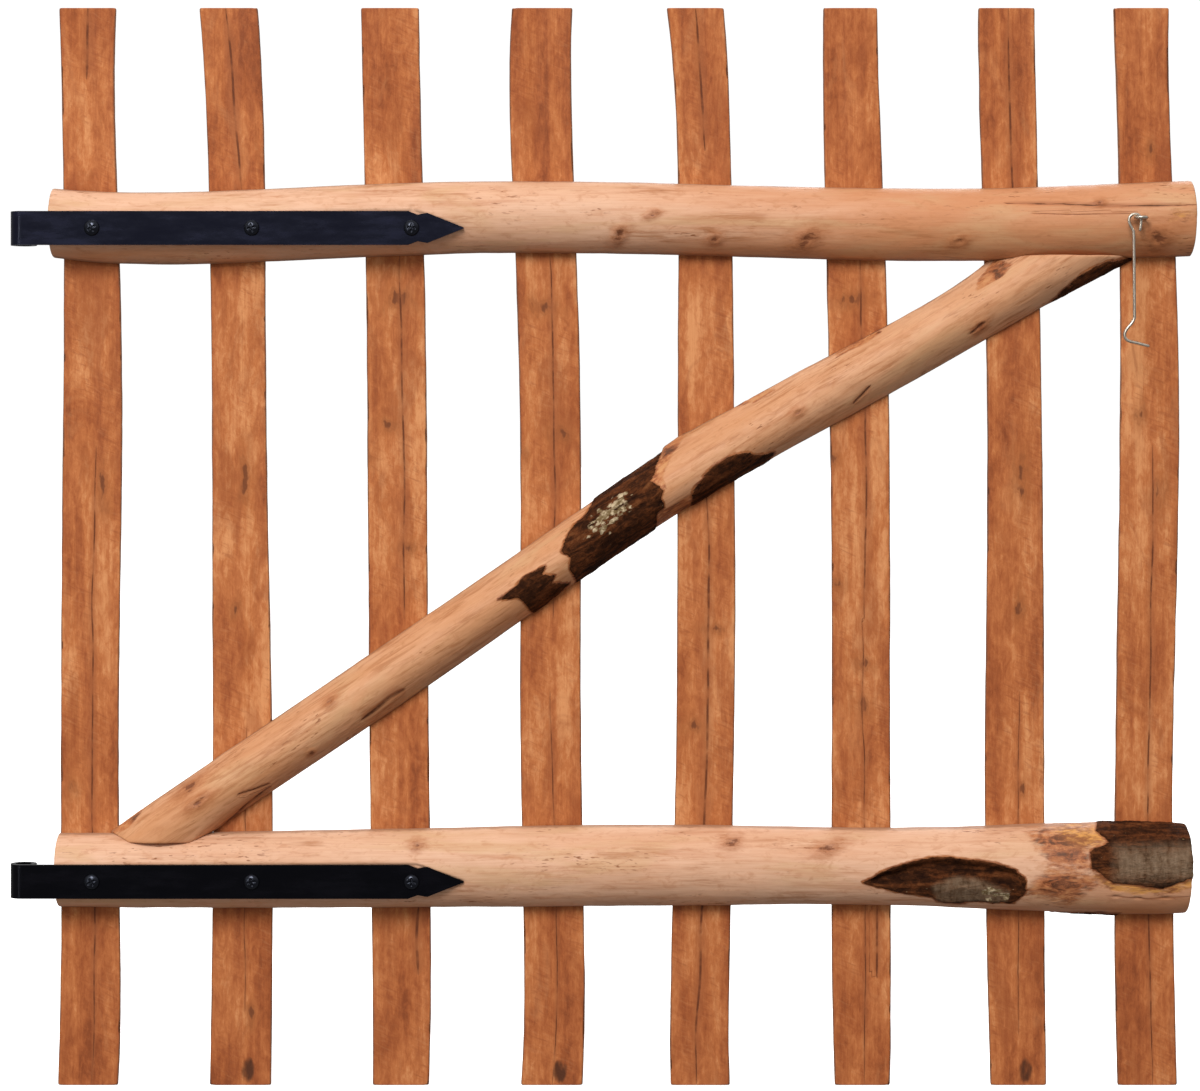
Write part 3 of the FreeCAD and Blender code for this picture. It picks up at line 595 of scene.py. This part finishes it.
def end_grain(name):
    """A sawn end: growth rings about the pith at the middle of the flat."""
    g = on_wood(name)
    section = g.node("SeparateXYZ", {0: g.place})
    warp = g.noise((1, 90, 90), 3)
    across, deep = section.outputs[1], section.outputs[2]
    radius = g.math("SQRT", g.add(g.times(across, across), g.times(deep, deep)))
    rings = g.math("SINE", g.add(g.times(radius, 2600.0), g.times(warp, 9.0)))
    pores = g.noise((1, 1500, 1500), 2)
    colour = g.blend(g.step(rings, -0.6, 1.0), (0.58, 0.25, 0.105), (0.38, 0.125, 0.042))
    colour = g.blend(g.step(pores, 0.45, 0.7, 0.0, 0.5), colour, (0.22, 0.07, 0.025))
    saw = g.noise((1, 40, 600), 2)
    height = g.add(g.times(saw, 0.7), pores)
    return g.finish(colour, g.step(pores, 0.3, 0.7, 0.78, 0.9), Normal=g.bump(height, 0.0005, 0.7),
                    Specular_IOR_Level=0.2)


def black_paint(name, shade, shine):
    """Satin black paint over forged steel, greyer where dust lies; its bluish specular tint is a
    painted sky reflection.
    """
    g = in_space(name)
    orange_peel = g.noise((420, 420, 420), 3)
    hammer = g.noise((60, 60, 60), 2)
    dust = g.noise((25, 60, 90), 5, 0.65)
    dusty = tuple(value * 2.2 for value in shade)
    colour = g.blend(g.step(dust, 0.45, 0.75), shade, dusty)
    height = g.add(g.times(orange_peel, 0.25), hammer)
    return g.finish(colour, g.step(dust, 0.3, 0.7, 0.20, 0.30), Normal=g.bump(height, 0.0004, 0.35),
                    Specular_IOR_Level=shine, Specular_Tint=(0.72, 0.78, 1.0))


def zinc(name, shade):
    """Bright zinc on drawn wire: fine lines along it and a few dull spots."""
    g = in_space(name)
    clouds = g.noise((300, 300, 120), 4, 0.6)
    drawn = g.noise((2600, 2600, 260), 2)
    dull = tuple(value * 0.62 for value in shade)
    colour = g.blend(g.step(clouds, 0.38, 0.66), shade, dull)
    return g.finish(colour, g.step(clouds, 0.3, 0.7, 0.24, 0.44), Normal=g.bump(drawn, 0.00004, 0.4),
                    Metallic=1.0)


# ---- marks on the wood
class Marks(dict):
    """What lies on a pole, as named fields with a number for each of its points."""

    def __init__(self, pole, x, z, where):
        """Nothing yet.  Marks go by x and z, in mm, and lie only where `where` is true."""
        self.x, self.z, self.where = x, z, where
        for key in ("tone_and_shade", "torn", "gold", "grey", "lichen", "stain", "crack_width"):
            self[key] = np.zeros(x.shape)
        self["bark"] = np.full(x.shape, -20.0)
        self["knot"] = np.full(x.shape, 4.0)
        self["crack"] = np.full(x.shape, 20.0)
        self["edge"] = np.clip(pole.to_arris(), 0, 20)

    def bark(self, outlines):
        for outline in outlines:
            depth = np.clip(inside(self.x, self.z, outline), -20, 20)
            depth = np.where(self.where, depth, -20)
            self["bark"] = np.maximum(self["bark"], depth)

    def patch(self, key, outline, soft, amount=1.0):
        """Adds a patch of another field, full inside the outline and gone soft mm outside it."""
        share = ramp(inside(self.x, self.z, outline), -soft, soft) * amount
        self[key] = np.maximum(self[key], np.where(self.where, share, 0))

    def knots(self, knots):
        """Knots as (x, z, half length, half width, tilt)."""
        for kx, kz, long, wide, tilt in knots:
            c, s = math.cos(tilt), math.sin(tilt)
            right, up = self.x - kx, self.z - kz
            ratio = np.hypot((right * c + up * s) / long, (up * c - right * s) / wide)
            nearer = np.minimum(self["knot"], ratio)
            self["knot"] = np.where(self.where, nearer, self["knot"])

    def cracks(self, cracks, wander=0):
        """Cracks as (points, half width).  Wander moves each point's z."""
        for points, width in cracks:
            gap, way = across_line(self.x, self.z + wander, points)
            tapered = width * np.clip(np.minimum(way, 1 - way) * 6, 0, 1) ** 0.5
            before = np.abs(self["crack"]) / (self["crack_width"] + 0.2)
            closer = self.where & (np.abs(gap) / (tapered + 0.2) < before)
            self["crack"] = np.where(closer, np.clip(gap, -20, 20), self["crack"])
            self["crack_width"] = np.where(closer, tapered, self["crack_width"])

    def relief(self, seed):
        """Height of what the fields say, in mm: bark stands up, cracks and knots go in."""
        x, z = self.x, self.z
        ragged = self["bark"] + 2.0 * fractal(x / 6, z / 6, seed)
        bark = ramp(ragged, -1.2, 1.2) * (1.0 + 0.45 * fractal(x / 5, z / 4, seed + 5))
        crack = np.abs(self["crack"]) / np.maximum(self["crack_width"], 0.01)
        knot = self["knot"]
        swell = 0.8 * ramp(knot, 2.4, 1.0) - 1.1 * ramp(knot, 0.8, 0.3)
        torn = self["torn"] * 0.5 * fractal(x / 4, z / 2, seed + 9)
        return bark - 1.2 * ramp(crack, 1.6, 0.4) + swell + torn


# Outlines, cracks and knots lie in mm right and up from the low corner of their pole's box.
BRACE_BARK = [
    [(404, 275), (398, 264), (387, 253), (380, 240), (378, 234), (386, 229), (384, 221), (392, 205),
     (455, 240), (457, 266), (463, 270), (460, 278), (462, 284), (457, 288), (451, 292), (454, 298),
     (456, 304), (461, 315), (450, 330), (404, 300)],
    [(485, 270), (487, 285), (502, 304), (522, 315), (533, 316), (539, 313), (555, 316), (540, 290)],
    [(325, 194), (338, 203), (349, 214), (364, 222), (362, 215), (372, 214), (369, 208), (384, 207),
     (355, 180), (346, 192), (342, 196)],
    [(777, 432), (799, 454), (809, 464), (829, 474), (864, 480), (880, 470), (820, 440)],
]
BRACE_BAST = [
    [(499, 343), (507, 347), (522, 353), (539, 357), (556, 368), (530, 372), (505, 358)],
    [(606, 394), (618, 400), (633, 408), (645, 417), (635, 424), (606, 402)],
    [(721, 450), (728, 453), (742, 460), (753, 472), (740, 478), (724, 460)],
    [(2, -4), (16, 2), (26, 14), (31, 21), (10, 24)],
    [(456, 250), (458, 266), (472, 273), (487, 283), (487, 265)],
]
BRACE_TORN = [(451, 292), (454, 298), (461, 311), (473, 331), (483, 331), (478, 322), (469, 311),
              (465, 304), (461, 296), (465, 285), (459, 287)]
BRACE_LICHEN = [(397, 244), (407, 269), (426, 281), (435, 282), (436, 269), (423, 256), (409, 249)]
BRACE_CRACKS = [
    ([(212, 93), (224, 102), (236, 112), (248, 119)], 1.8),
    ([(94, 2), (114, 21), (136, 38)], 1.2),
    ([(109, 32), (123, 36), (136, 41)], 0.7),
    ([(620, 356), (628, 364), (634, 371)], 0.9),
    ([(717, 414), (724, 420), (728, 424)], 1.0),
]
BRACE_KNOTS = [(186, 109, 3.5, 2.5, 0.6), (170, 67, 2.5, 1.8, 0.6), (69, 38, 9, 3, 0.7),
               (77, 26, 8, 3, 0.6), (725, 421, 5, 3, 0.6), (573, 349, 4, 2.5, 0.5),
               (477, 329, 5, 3, 0.6)]
STUB = (462, 329)  # where a torn branch stands up out of the brace
STUB_SLOPE = 0.62  # rise of the brace over its run, beside the stub

TOP_CRACKS = [([(790, 50), (840, 49), (880, 47), (952, 48)], 0.55),
              ([(812, 41), (850, 40), (900, 41)], 0.2)]
TOP_KNOTS = [(473, 24, 6, 3.5, 0.9), (628, 20, 8, 5, 0.5), (552, 20, 4, 3, 0.2), (500, 40, 4, 2, 0.4),
             (754, 18, 6, 3, 0.2), (135, 66, 3, 2, 0.4), (870, 50, 3, 2, 0.3), (918, 20, 8, 6, 0.4)]
TOP_END_BAST = [(925, 34), (955, 34), (955, 46), (928, 44)]

SCAR = [(669, 31), (685, 40), (711, 49), (731, 52), (754, 50), (777, 47), (794, 42), (802, 34),
        (803, 23), (794, 13), (765, 14), (746, 12), (731, 14), (726, 18), (704, 21), (685, 26)]
SCAR_FLOOR = [(726, 26), (744, 34), (761, 33), (790, 22), (787, 13), (765, 15), (746, 13), (731, 15)]
SCAR_LICHEN = [(765, 22), (772, 28), (783, 24), (792, 17), (787, 13), (766, 16)]
END_BARK = [(870, 86), (864, 72), (873, 63), (862, 59), (856, 56), (857, 44), (862, 41), (875, 31),
            (895, 30), (916, 26), (928, 31), (950, 39), (950, 90)]
END_GOLD = [(826, 74), (842, 78), (870, 74), (873, 63), (857, 58), (840, 62)]
END_TORN = [(807, 70), (842, 78), (870, 74), (873, 63), (857, 58), (856, 43), (849, 41), (824, 45),
            (814, 58)]
UNDER_END_BARK = [(856, 43), (862, 41), (875, 31), (895, 30), (916, 26), (928, 31), (950, 38),
                  (950, 30), (930, 22), (900, 20), (872, 24), (858, 36)]
UNDER_BARK = [(818, -4), (820, 1), (850, 3), (884, 2), (884, -4)]
WRINKLED = [(824, 43), (853, 41), (875, 31), (853, 25), (846, 12), (835, 12), (820, 18), (803, 20),
            (811, 34)]
END_WORN = [(878, 58), (940, 60), (944, 34), (876, 34)]
BOTTOM_KNOTS = [(640, 58, 8, 3, 0.3), (560, 62, 5, 3, 0.2), (300, 60, 4, 2.5, 0.1),
                (820, 30, 5, 3, 0.2)]
BOTTOM_CRACKS = [([(870, 20), (905, 17), (940, 19)], 0.25)]


def make_brace():
    pole = Pole("diagonal_brace", Z, X, -Y, 1.3 * MM, 74, 20)
    pole.grain_axis = Vector(pole.middle[-1] - pole.middle[0]).normalized()
    pole.meet("bottom_rail", -Z, 8 * MM, 22 * MM)
    pole.meet("top_rail", pole.grain_axis, 8 * MM, 14 * MM)
    marks = Marks(pole, *pole.place(), pole.on_round())
    x, z, front = marks.x, marks.z, marks.where
    marks.bark(BRACE_BARK)
    for outline in BRACE_BAST:
        marks.patch("torn", outline, 1.5, 0.7)
    marks.patch("torn", BRACE_TORN, 2.0, 0.9)
    marks.patch("lichen", BRACE_LICHEN, 7.0)
    marks.knots(BRACE_KNOTS)
    marks.cracks(BRACE_CRACKS)
    marks["tone_and_shade"] = np.where(front, 0.50 - 0.25 * ramp(x, 400, 700), 0.6)
    along, up = x - STUB[0], z - STUB[1] - STUB_SLOPE * (x - STUB[0])
    shoulder = ramp(along, -2, 3) * ramp(along, 75, 8) * ramp(up, -34, 2)
    hollow = np.hypot(along / 7, up / 5)
    height = marks.relief(31) * front
    height += np.where(front, 5.5 * shoulder - 2.0 * ramp(hollow, 1.0, 0.3), 0)
    height += np.where(front, 0.5 * fractal(x / 28, z / 16, 41), 0.15 * noise(x / 9, z / 9, 43))
    pole.raise_by(height)
    return pole.build("brace_pole", marks, BRACE_FINISH, 1)


def make_top_rail():
    pole = Pole("top_rail", X, Z, -Y, 1.6 * MM, 64, 20)
    pole.round_over_seat("upper_strap_hinge")
    marks = Marks(pole, *pole.place(), pole.on_round())
    x, z, front = marks.x, marks.z, marks.where
    marks.knots(TOP_KNOTS)
    marks.cracks(TOP_CRACKS)
    # Warmer towards the right end is the wood's own tone; warmer and darker along the lower side is
    # painted shade.
    marks["tone_and_shade"] = 0.10 + 0.85 * ramp(x, 420, 760) + 0.5 * ramp(z, 26, 6)
    marks.patch("torn", TOP_END_BAST, 5, 0.45)
    marks.patch("gold", TOP_END_BAST, 5, 0.9)
    height = marks.relief(51) * front
    height += np.where(front, 0.35 * fractal(x / 34, z / 14, 53), 0.15 * noise(x / 9, z / 9, 55))
    pole.raise_by(height * clear_of_straps(pole))
    return pole.build("top_rail_pole", marks, POLE_FINISH, 2)


def make_bottom_rail():
    pole = Pole("bottom_rail", X, Z, -Y, 1.6 * MM, 72, 20)
    pole.round_over_seat("lower_strap_hinge")
    marks = Marks(pole, *pole.place(), pole.on_round())
    x, z, front = marks.x, marks.z, marks.where
    marks.bark([SCAR, END_BARK, UNDER_BARK])
    marks.patch("grey", SCAR_FLOOR, 3.0, 0.8)
    marks.patch("grey", END_WORN, 8, 0.95)
    marks.patch("lichen", SCAR_LICHEN, 3.0)
    marks.patch("torn", END_TORN, 11.0, 0.85)
    marks.patch("torn", WRINKLED, 10.0, 0.85)
    marks.patch("gold", END_GOLD, 6.0)
    marks.patch("torn", UNDER_END_BARK, 3.0, 0.7)
    marks.patch("gold", UNDER_END_BARK, 3.0, 0.9)
    marks.knots(BOTTOM_KNOTS)
    marks.cracks(BOTTOM_CRACKS)
    # Warmer towards the right end is the wood's own tone; warmer and darker along the lower side is
    # painted shade.
    marks["tone_and_shade"] = 0.12 + 0.35 * ramp(x, 780, 900) + 0.35 * ramp(z, 22, 4)
    height = marks.relief(61) * front
    sunk = ramp(inside(x, z, SCAR) + fractal(x / 8, z / 8, 63), -0.5, 5.0)
    lip = ramp(z, 22, 40)
    height -= np.where(front, sunk * (2.5 + 5.5 * lip), 0)
    height += np.where(front, 0.4 * fractal(x / 34, z / 14, 65), 0.15 * noise(x / 9, z / 9, 67))
    pole.raise_by(height * clear_of_straps(pole))
    return pole.build("bottom_rail_pole", marks, POLE_FINISH, 3)


def clear_of_straps(pole):
    """How much relief the wood keeps: little where the straps lie, all of it elsewhere."""
    low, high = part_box("upper_strap_hinge")
    seat = pole.points[..., 1] < low.y + STRAP_COVER
    return np.where(seat & (pole.points[..., 0] < high.x), STRAP_RELIEF, 1.0)


# Pickets: lines of pith and shakes, with their half widths, and knots with their half length
# and half width.  Places are mm above the foot and mm off the middle.
PICKETS = {
    1: dict(lines=[([(0, 4), (200, 3), (400, 2), (535, 3)], 0.8), ([(840, -1), (900, 0)], 1.4)],
            knots=[(497, 9, 12, 4), (250, -14, 6, 3)]),
    2: dict(lines=[([(690, 7), (720, 5), (745, 4)], 1.1), ([(745, 4), (820, 0), (900, -2)], 1.2),
                   ([(60, 2), (300, 3)], 0.5)],
            knots=[(508, 5, 14, 4), (398, -4, 5, 3), (60, 8, 6, 3)]),
    3: dict(lines=[([(389, 4), (520, 6), (694, 4)], 1.0), ([(92, 13), (122, 12), (150, 14)], 1.6)],
            knots=[(656, 2, 6, 8), (552, -6, 4, 5), (449, 8, 4, 6), (524, -23, 5, 3)]),
    4: dict(lines=[([(389, 2), (560, 4), (694, 3)], 0.9), ([(0, 1), (160, 3), (330, 0)], 0.6)],
            knots=[(650, -3, 5, 8), (545, 8, 5, 5), (449, -9, 4, 5), (524, -22, 5, 2)]),
    5: dict(lines=[([(0, -3), (150, 0), (330, 3), (505, 1)], 1.3), ([(780, 1), (900, -1)], 1.2)],
            knots=[(735, 6, 5, 4), (381, 6, 3, 7), (300, -10, 4, 5)]),
    6: dict(lines=[([(389, 3), (520, 5), (694, 3)], 1.0), ([(90, 12), (150, 13)], 1.3),
                   ([(0, 2), (180, 3), (389, 1)], 0.6)],
            knots=[(656, -3, 5, 8), (418, -20, 3, 4), (352, 2, 4, 5), (318, 1, 6, 5),
                   (524, -22, 5, 3)]),
    7: dict(lines=[([(690, 4), (745, 2), (900, 1)], 1.1), ([(40, 1), (330, 3)], 0.5)],
            knots=[(508, 4, 14, 4), (400, 3, 8, 3), (250, 6, 5, 3)]),
    8: dict(lines=[([(0, 5), (260, 4), (535, 3)], 0.9)],
            knots=[(497, 8, 10, 4), (560, -8, 6, 3), (780, 4, 5, 3)]),
}
DABBED = (2, 4, 7)  # the pickets with a dark dab at the foot
PICKET_RELIEF = 0.15  # share of the marks' relief that a sawn flat shows


def make_picket(number):
    pole = Pole(f"picket_{number}", Z, X, Y, 2.4 * MM, 30, 30)
    _, up = pole.place()
    off = pole.from_middle(pole.across)
    flat = ~pole.on_round()
    seed = 100 + 10 * number
    marks = Marks(pole, up, off, flat)
    wander = 1.6 * noise(up / 45, np.full(up.shape, 0.5), seed)
    marks.cracks(PICKETS[number]["lines"], wander)
    marks.knots([(*knot, 0.0) for knot in PICKETS[number]["knots"]])
    pale_top = ramp(up, 700, 880)
    dark_foot = ramp(up, 190, 20)
    mottling = fractal(up / 70, off / 24, seed + 3)
    marks["tone_and_shade"] = -0.25 * pale_top - 0.30 * dark_foot + 0.55 * mottling
    nicks = ramp(noise(up / 16, np.sign(off) * 3.0, seed + 5), 0.55, 0.9)
    nicks *= ramp(pole.to_arris(), 3.0, 0.5)
    dab = ramp(np.hypot((up - 12) / 18, (off - 6) / 10), 1.0, 0.3)
    dab *= 0.7 if number in DABBED else 0.0
    marks["stain"] = np.where(flat, nicks * 0.8 + dab, 0)
    sawn = 0.15 * fractal(up / 30, off / 12, seed + 7)
    split = 0.3 * fractal(up / 30, off / 12, seed + 8)
    height = marks.relief(seed + 6) * flat * PICKET_RELIEF
    height += np.where(flat, sawn - 0.8 * nicks, split)
    pole.raise_by(height)
    return pole.build(f"picket_{number}_wood", marks, POLE_FINISH, 10 + number)


END_GRAIN = end_grain("end grain")
POLE_ROUND = peeled_wood("peeled pole", (0.68, 0.405, 0.262), (0.54, 0.225, 0.098), 0.50)
SAWN_FLAT = sawn_wood("sawn picket", (0.86, 0.78, 0.72))
BRACE_ROUND = peeled_wood("peeled brace", (0.68, 0.372, 0.212), (0.50, 0.21, 0.078), 0.38)
BRACE_FINISH = (BRACE_ROUND, SAWN_FLAT, END_GRAIN)
POLE_FINISH = (POLE_ROUND, SAWN_FLAT, END_GRAIN)

for wood in (make_brace(), make_top_rail(), make_bottom_rail()):
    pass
for number in PICKETS:
    make_picket(number)


# ---- ironwork
# The hook's wire, in mm right and up from the joint, with the eye's wire at (0, 0).
HOOK_WIRE = 1.25
HOOK_LOOP = 5.0
HOOK_LOOP_DROP = 2.1
HOOK_TAIL = [(3.9, -11.2), (4.7, -6.5)]
HOOK_STEM = [(-4.4, -5.2), (-2.2, -9.4), (-1.1, -13.5), (-0.9, -30), (-0.6, -60), (-0.5, -80),
             (-0.9, -83.8), (-3.2, -87.6), (-6.6, -91.6), (-8.5, -95.6), (-7.9, -99.4),
             (-4.6, -101.8), (2.0, -103.4), (11.9, -106.0)]
LOOP_STEPS = 8
WIRE_END = (0.55, 0.9, 1.0)  # how the wire's radius grows over its first rings
WIRE_SIDES = 14
SCREW_RINGS = 16
SCREW_SIDES = 48
HEAD_BACK = 0.1 * MM  # how far behind the strap's front a head's vertices may lie
SCREWS_APART = 30 * MM  # vertices further apart than this lie on different heads
CROSS_ARM = (0.9 * MM, 0.5 * MM)  # half width of the recess, at its rim and its floor
CROSS_REACH = (3.6 * MM, 2.8 * MM)  # its half length, at its rim and its floor
CROSS_DEPTH = 1.2 * MM
CROSS_TURN = (0.5, 1.3)  # radians: the first head's turn, and each next one's


def refinish(names, material):
    for name in names:
        slots = frame["nodes"][name].data.materials
        slots.clear()
        slots.append(material)


def make_mesh(name, points, faces, material):
    mesh = bpy.data.meshes.new(name)
    mesh.from_pydata(points, [], faces)
    mesh.materials.append(material)
    mesh.polygons.foreach_set("use_smooth", [True] * len(faces))
    return add_solid(name, mesh)


def ring_faces(first, rings, sides):
    """The faces between rings of points; first is the number of the first point."""
    faces = []
    for start in range(first, first + (rings - 1) * sides, sides):
        for k in range(sides):
            low, beside = start + k, start + (k + 1) % sides
            faces.append((low, beside, beside + sides, low + sides))
    return faces


def smooth_path(corners, step):
    """Points along a curve through the corners, about one step apart (Catmull-Rom)."""
    ends = [corners[0] * 2 - corners[1]] + corners + [corners[-1] * 2 - corners[-2]]
    path = [corners[0]]
    for before, start, end, after in zip(ends, ends[1:], ends[2:], ends[3:]):
        count = max(1, round((end - start).length / step))
        for k in range(1, count + 1):
            t = k / count
            path.append((start * 2 + (end - before) * t
                         + (before * 2 - start * 5 + end * 4 - after) * t ** 2
                         + (start * 3 - before - end * 3 + after) * t ** 3) / 2)
    return path


def make_hook():
    """The cabin hook as one bent wire: tail, loop round the eye, stem, and the hook below."""
    pivot = Vector(frame["joints"][0]["pos_m"])
    turns = [math.pi * k / LOOP_STEPS for k in range(LOOP_STEPS + 1)]
    loop = [(HOOK_LOOP * math.cos(a), HOOK_LOOP * math.sin(a) - HOOK_LOOP_DROP) for a in turns]
    corners = [pivot + Vector((x, 0, z)) * MM for x, z in HOOK_TAIL + loop + HOOK_STEM]
    path = smooth_path(corners, 1.0 * MM)
    rings = []
    for k, point in enumerate(path):
        along = (path[min(k + 1, len(path) - 1)] - path[max(k - 1, 0)]).normalized()
        side = along.cross(Y).normalized()
        from_end = min(k, len(path) - 1 - k)
        radius = HOOK_WIRE * WIRE_END[min(from_end, 2)] * MM
        turns = [2 * math.pi * j / WIRE_SIDES for j in range(WIRE_SIDES)]
        rings += [tuple(point + (side * math.cos(a) + Y * math.sin(a)) * radius) for a in turns]
    faces = ring_faces(0, len(path), WIRE_SIDES)
    faces.append(tuple(range(WIRE_SIDES)))
    faces.append(tuple(range(len(rings) - WIRE_SIDES, len(rings))))
    hook = make_mesh("cabin_hook_wire", rings, faces, BRIGHT)
    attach(hook, "cabin_hook")
    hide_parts("gate_hook")


def make_screw_heads(node, strap):
    """Domed heads with a cross recess, where the CAD screws' heads are."""
    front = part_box(strap)[0].y
    corners = [vertex.co for vertex in frame["nodes"][node].data.vertices]
    heads = sorted((co.x, co.z, co.y) for co in corners if co.y < front + HEAD_BACK)
    groups = [[heads[0]]]
    for head in heads[1:]:
        if head[0] - groups[-1][-1][0] > SCREWS_APART:
            groups.append([])
        groups[-1].append(head)
    points, faces = [], []
    for number, group in enumerate(groups):
        spread = np.array(group)
        centre = (spread.min(axis=0) + spread.max(axis=0)) / 2
        radius = (spread[:, 0].max() - spread[:, 0].min()) / 2
        rise = front - spread[:, 2].min()
        turned = CROSS_TURN[0] + CROSS_TURN[1] * number
        first = len(points)
        for ring in range(SCREW_RINGS + 1):
            reach = radius * (1 - ring / SCREW_RINGS)
            for k in range(SCREW_SIDES):
                angle = 2 * math.pi * k / SCREW_SIDES
                arm = min(abs(math.sin(angle - turned)), abs(math.cos(angle - turned))) * reach
                slot = ramp(arm, *CROSS_ARM) * ramp(reach, *CROSS_REACH)
                dome = rise * math.sqrt(max(0.0, 1 - (reach / radius) ** 2))
                depth = front - dome + CROSS_DEPTH * slot
                points.append((centre[0] + reach * math.cos(angle), depth,
                               centre[1] + reach * math.sin(angle)))
        faces += ring_faces(first, SCREW_RINGS + 1, SCREW_SIDES)
        faces.append(tuple(range(first, first + SCREW_SIDES)))
    heads = make_mesh(node + "_heads", points, faces, SCREW_BLACK)
    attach(heads, "gate_leaf")
    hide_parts(node)


# The upper strap's navy is a painted sky reflection on the same black paint as the lower strap.
BLACK_WITH_PAINTED_SKY = black_paint("upper strap paint with painted sky reflection", (0.0026, 0.0026, 0.0075), 0.26)
BLACK = black_paint("lower strap paint", (0.0010, 0.0008, 0.0012), 0.14)
SCREW_BLACK = black_paint("screw paint", (0.0008, 0.0008, 0.0014), 0.40)
BRIGHT = zinc("zinc wire", (0.66, 0.58, 0.48))
NAIL = zinc("galvanised nail", (0.42, 0.42, 0.41))
refinish([name for name in frame["nodes"] if name.startswith("upper_strap")], BLACK_WITH_PAINTED_SKY)
refinish([name for name in frame["nodes"] if name.startswith("lower_strap")], BLACK)
refinish(["hook_eye", "gate_hook"], BRIGHT)
refinish([name for name in frame["nodes"] if name.endswith("_nails")], NAIL)
make_hook()
make_screw_heads("upper_strap_screws", "upper_strap_hinge")
make_screw_heads("lower_strap_screws", "lower_strap_hinge")


# ---- studio
FLOOR_HALF = 90.0  # the floor reaches this far each way
FLOOR_GAP = 0.5 * MM  # under the pickets' feet
HORIZON, BRIGHT_UP = -0.05, 0.75  # the heights between which the world grows bright


def make_floor():
    mesh = bpy.data.meshes.new("floor")
    level = cad_low.z - FLOOR_GAP
    corners = [(gate_middle.x + sx * FLOOR_HALF, gate_middle.y + sy * FLOOR_HALF, level)
               for sx, sy in ((-1, -1), (1, -1), (1, 1), (-1, 1))]
    mesh.from_pydata(corners, [], [(0, 1, 2, 3)])
    g = in_space("studio floor")
    speckle = g.noise((30, 30, 30), 3)
    colour = g.blend(speckle, (0.90, 0.90, 0.90), (0.94, 0.94, 0.94))
    mesh.materials.append(g.finish(colour, 0.9, Emission_Color=(1.0, 1.0, 1.0), Emission_Strength=0.62))
    thing = add_object("studio_floor", mesh)
    thing.visible_diffuse = False
    thing.visible_glossy = False


def make_light(name, offset, width, height, power):
    """A soft light, offset from the gate's middle and turned towards it."""
    lamp = bpy.data.lights.new(name, "AREA")
    lamp.shape = "ELLIPSE" if width == height else "RECTANGLE"
    lamp.size, lamp.size_y, lamp.energy = width, height, power
    thing = add_object(name, lamp)
    thing.location = gate_middle + Vector(offset)
    thing.rotation_euler = (gate_middle - thing.location).to_track_quat("-Z", "Y").to_euler()


def make_world(seen, below, above):
    """Plain white behind the gate; as a light, dim at the horizon and below, bright above."""
    world = bpy.data.worlds.new("studio")
    bpy.context.scene.world = world
    g = Graph(world)
    direction = g.node("TexCoord", {}).outputs["Generated"]
    up = g.node("SeparateXYZ", {0: direction}).outputs[2]
    lit = g.step(up, HORIZON, BRIGHT_UP, below, above)
    from_camera = g.node("LightPath", {}).outputs["Is Camera Ray"]
    strength = g.node("Mix", {0: from_camera, 2: lit, 3: seen}).outputs[0]
    background = g.nodes["Background"]
    g.feed(background.inputs["Color"], (1, 1, 1))
    g.feed(background.inputs["Strength"], strength)


CAMERA_AWAY = 2.6  # from the plane of the flats
FRAME_WIDTH = 1.0028  # of the picture, at that plane
FRAME_MIDDLE_LEFT = 2.5 * MM  # of the gate's middle
CAMERA_UP = 0.357
FRAME_MIDDLE_UP = 0.2768


def make_camera():
    data = bpy.data.cameras.new("camera")
    data.sensor_width = 36.0
    data.lens = data.sensor_width * CAMERA_AWAY / FRAME_WIDTH
    data.shift_y = (FRAME_MIDDLE_UP - CAMERA_UP) / FRAME_WIDTH
    camera = add_object("camera", data)
    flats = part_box("top_rail")[1].y
    middle = (cad_low.x + cad_high.x) / 2 - FRAME_MIDDLE_LEFT
    camera.location = (middle, flats - CAMERA_AWAY, CAMERA_UP)
    camera.rotation_euler = (math.pi / 2, 0, 0)
    bpy.context.scene.camera = camera


make_floor()
make_world(1.05, 0.26, 0.80)
make_light("key", (-1.0, -4.3, 3.0), 2.2, 2.2, 243)
make_light("strip", (-2.1, -2.4, 0.1), 0.12, 1.6, 10)
make_light("back", (0.8, 2.2, 1.6), 1.6, 1.6, 30)
make_camera()
bpy.context.scene.view_settings.view_transform = "Standard"
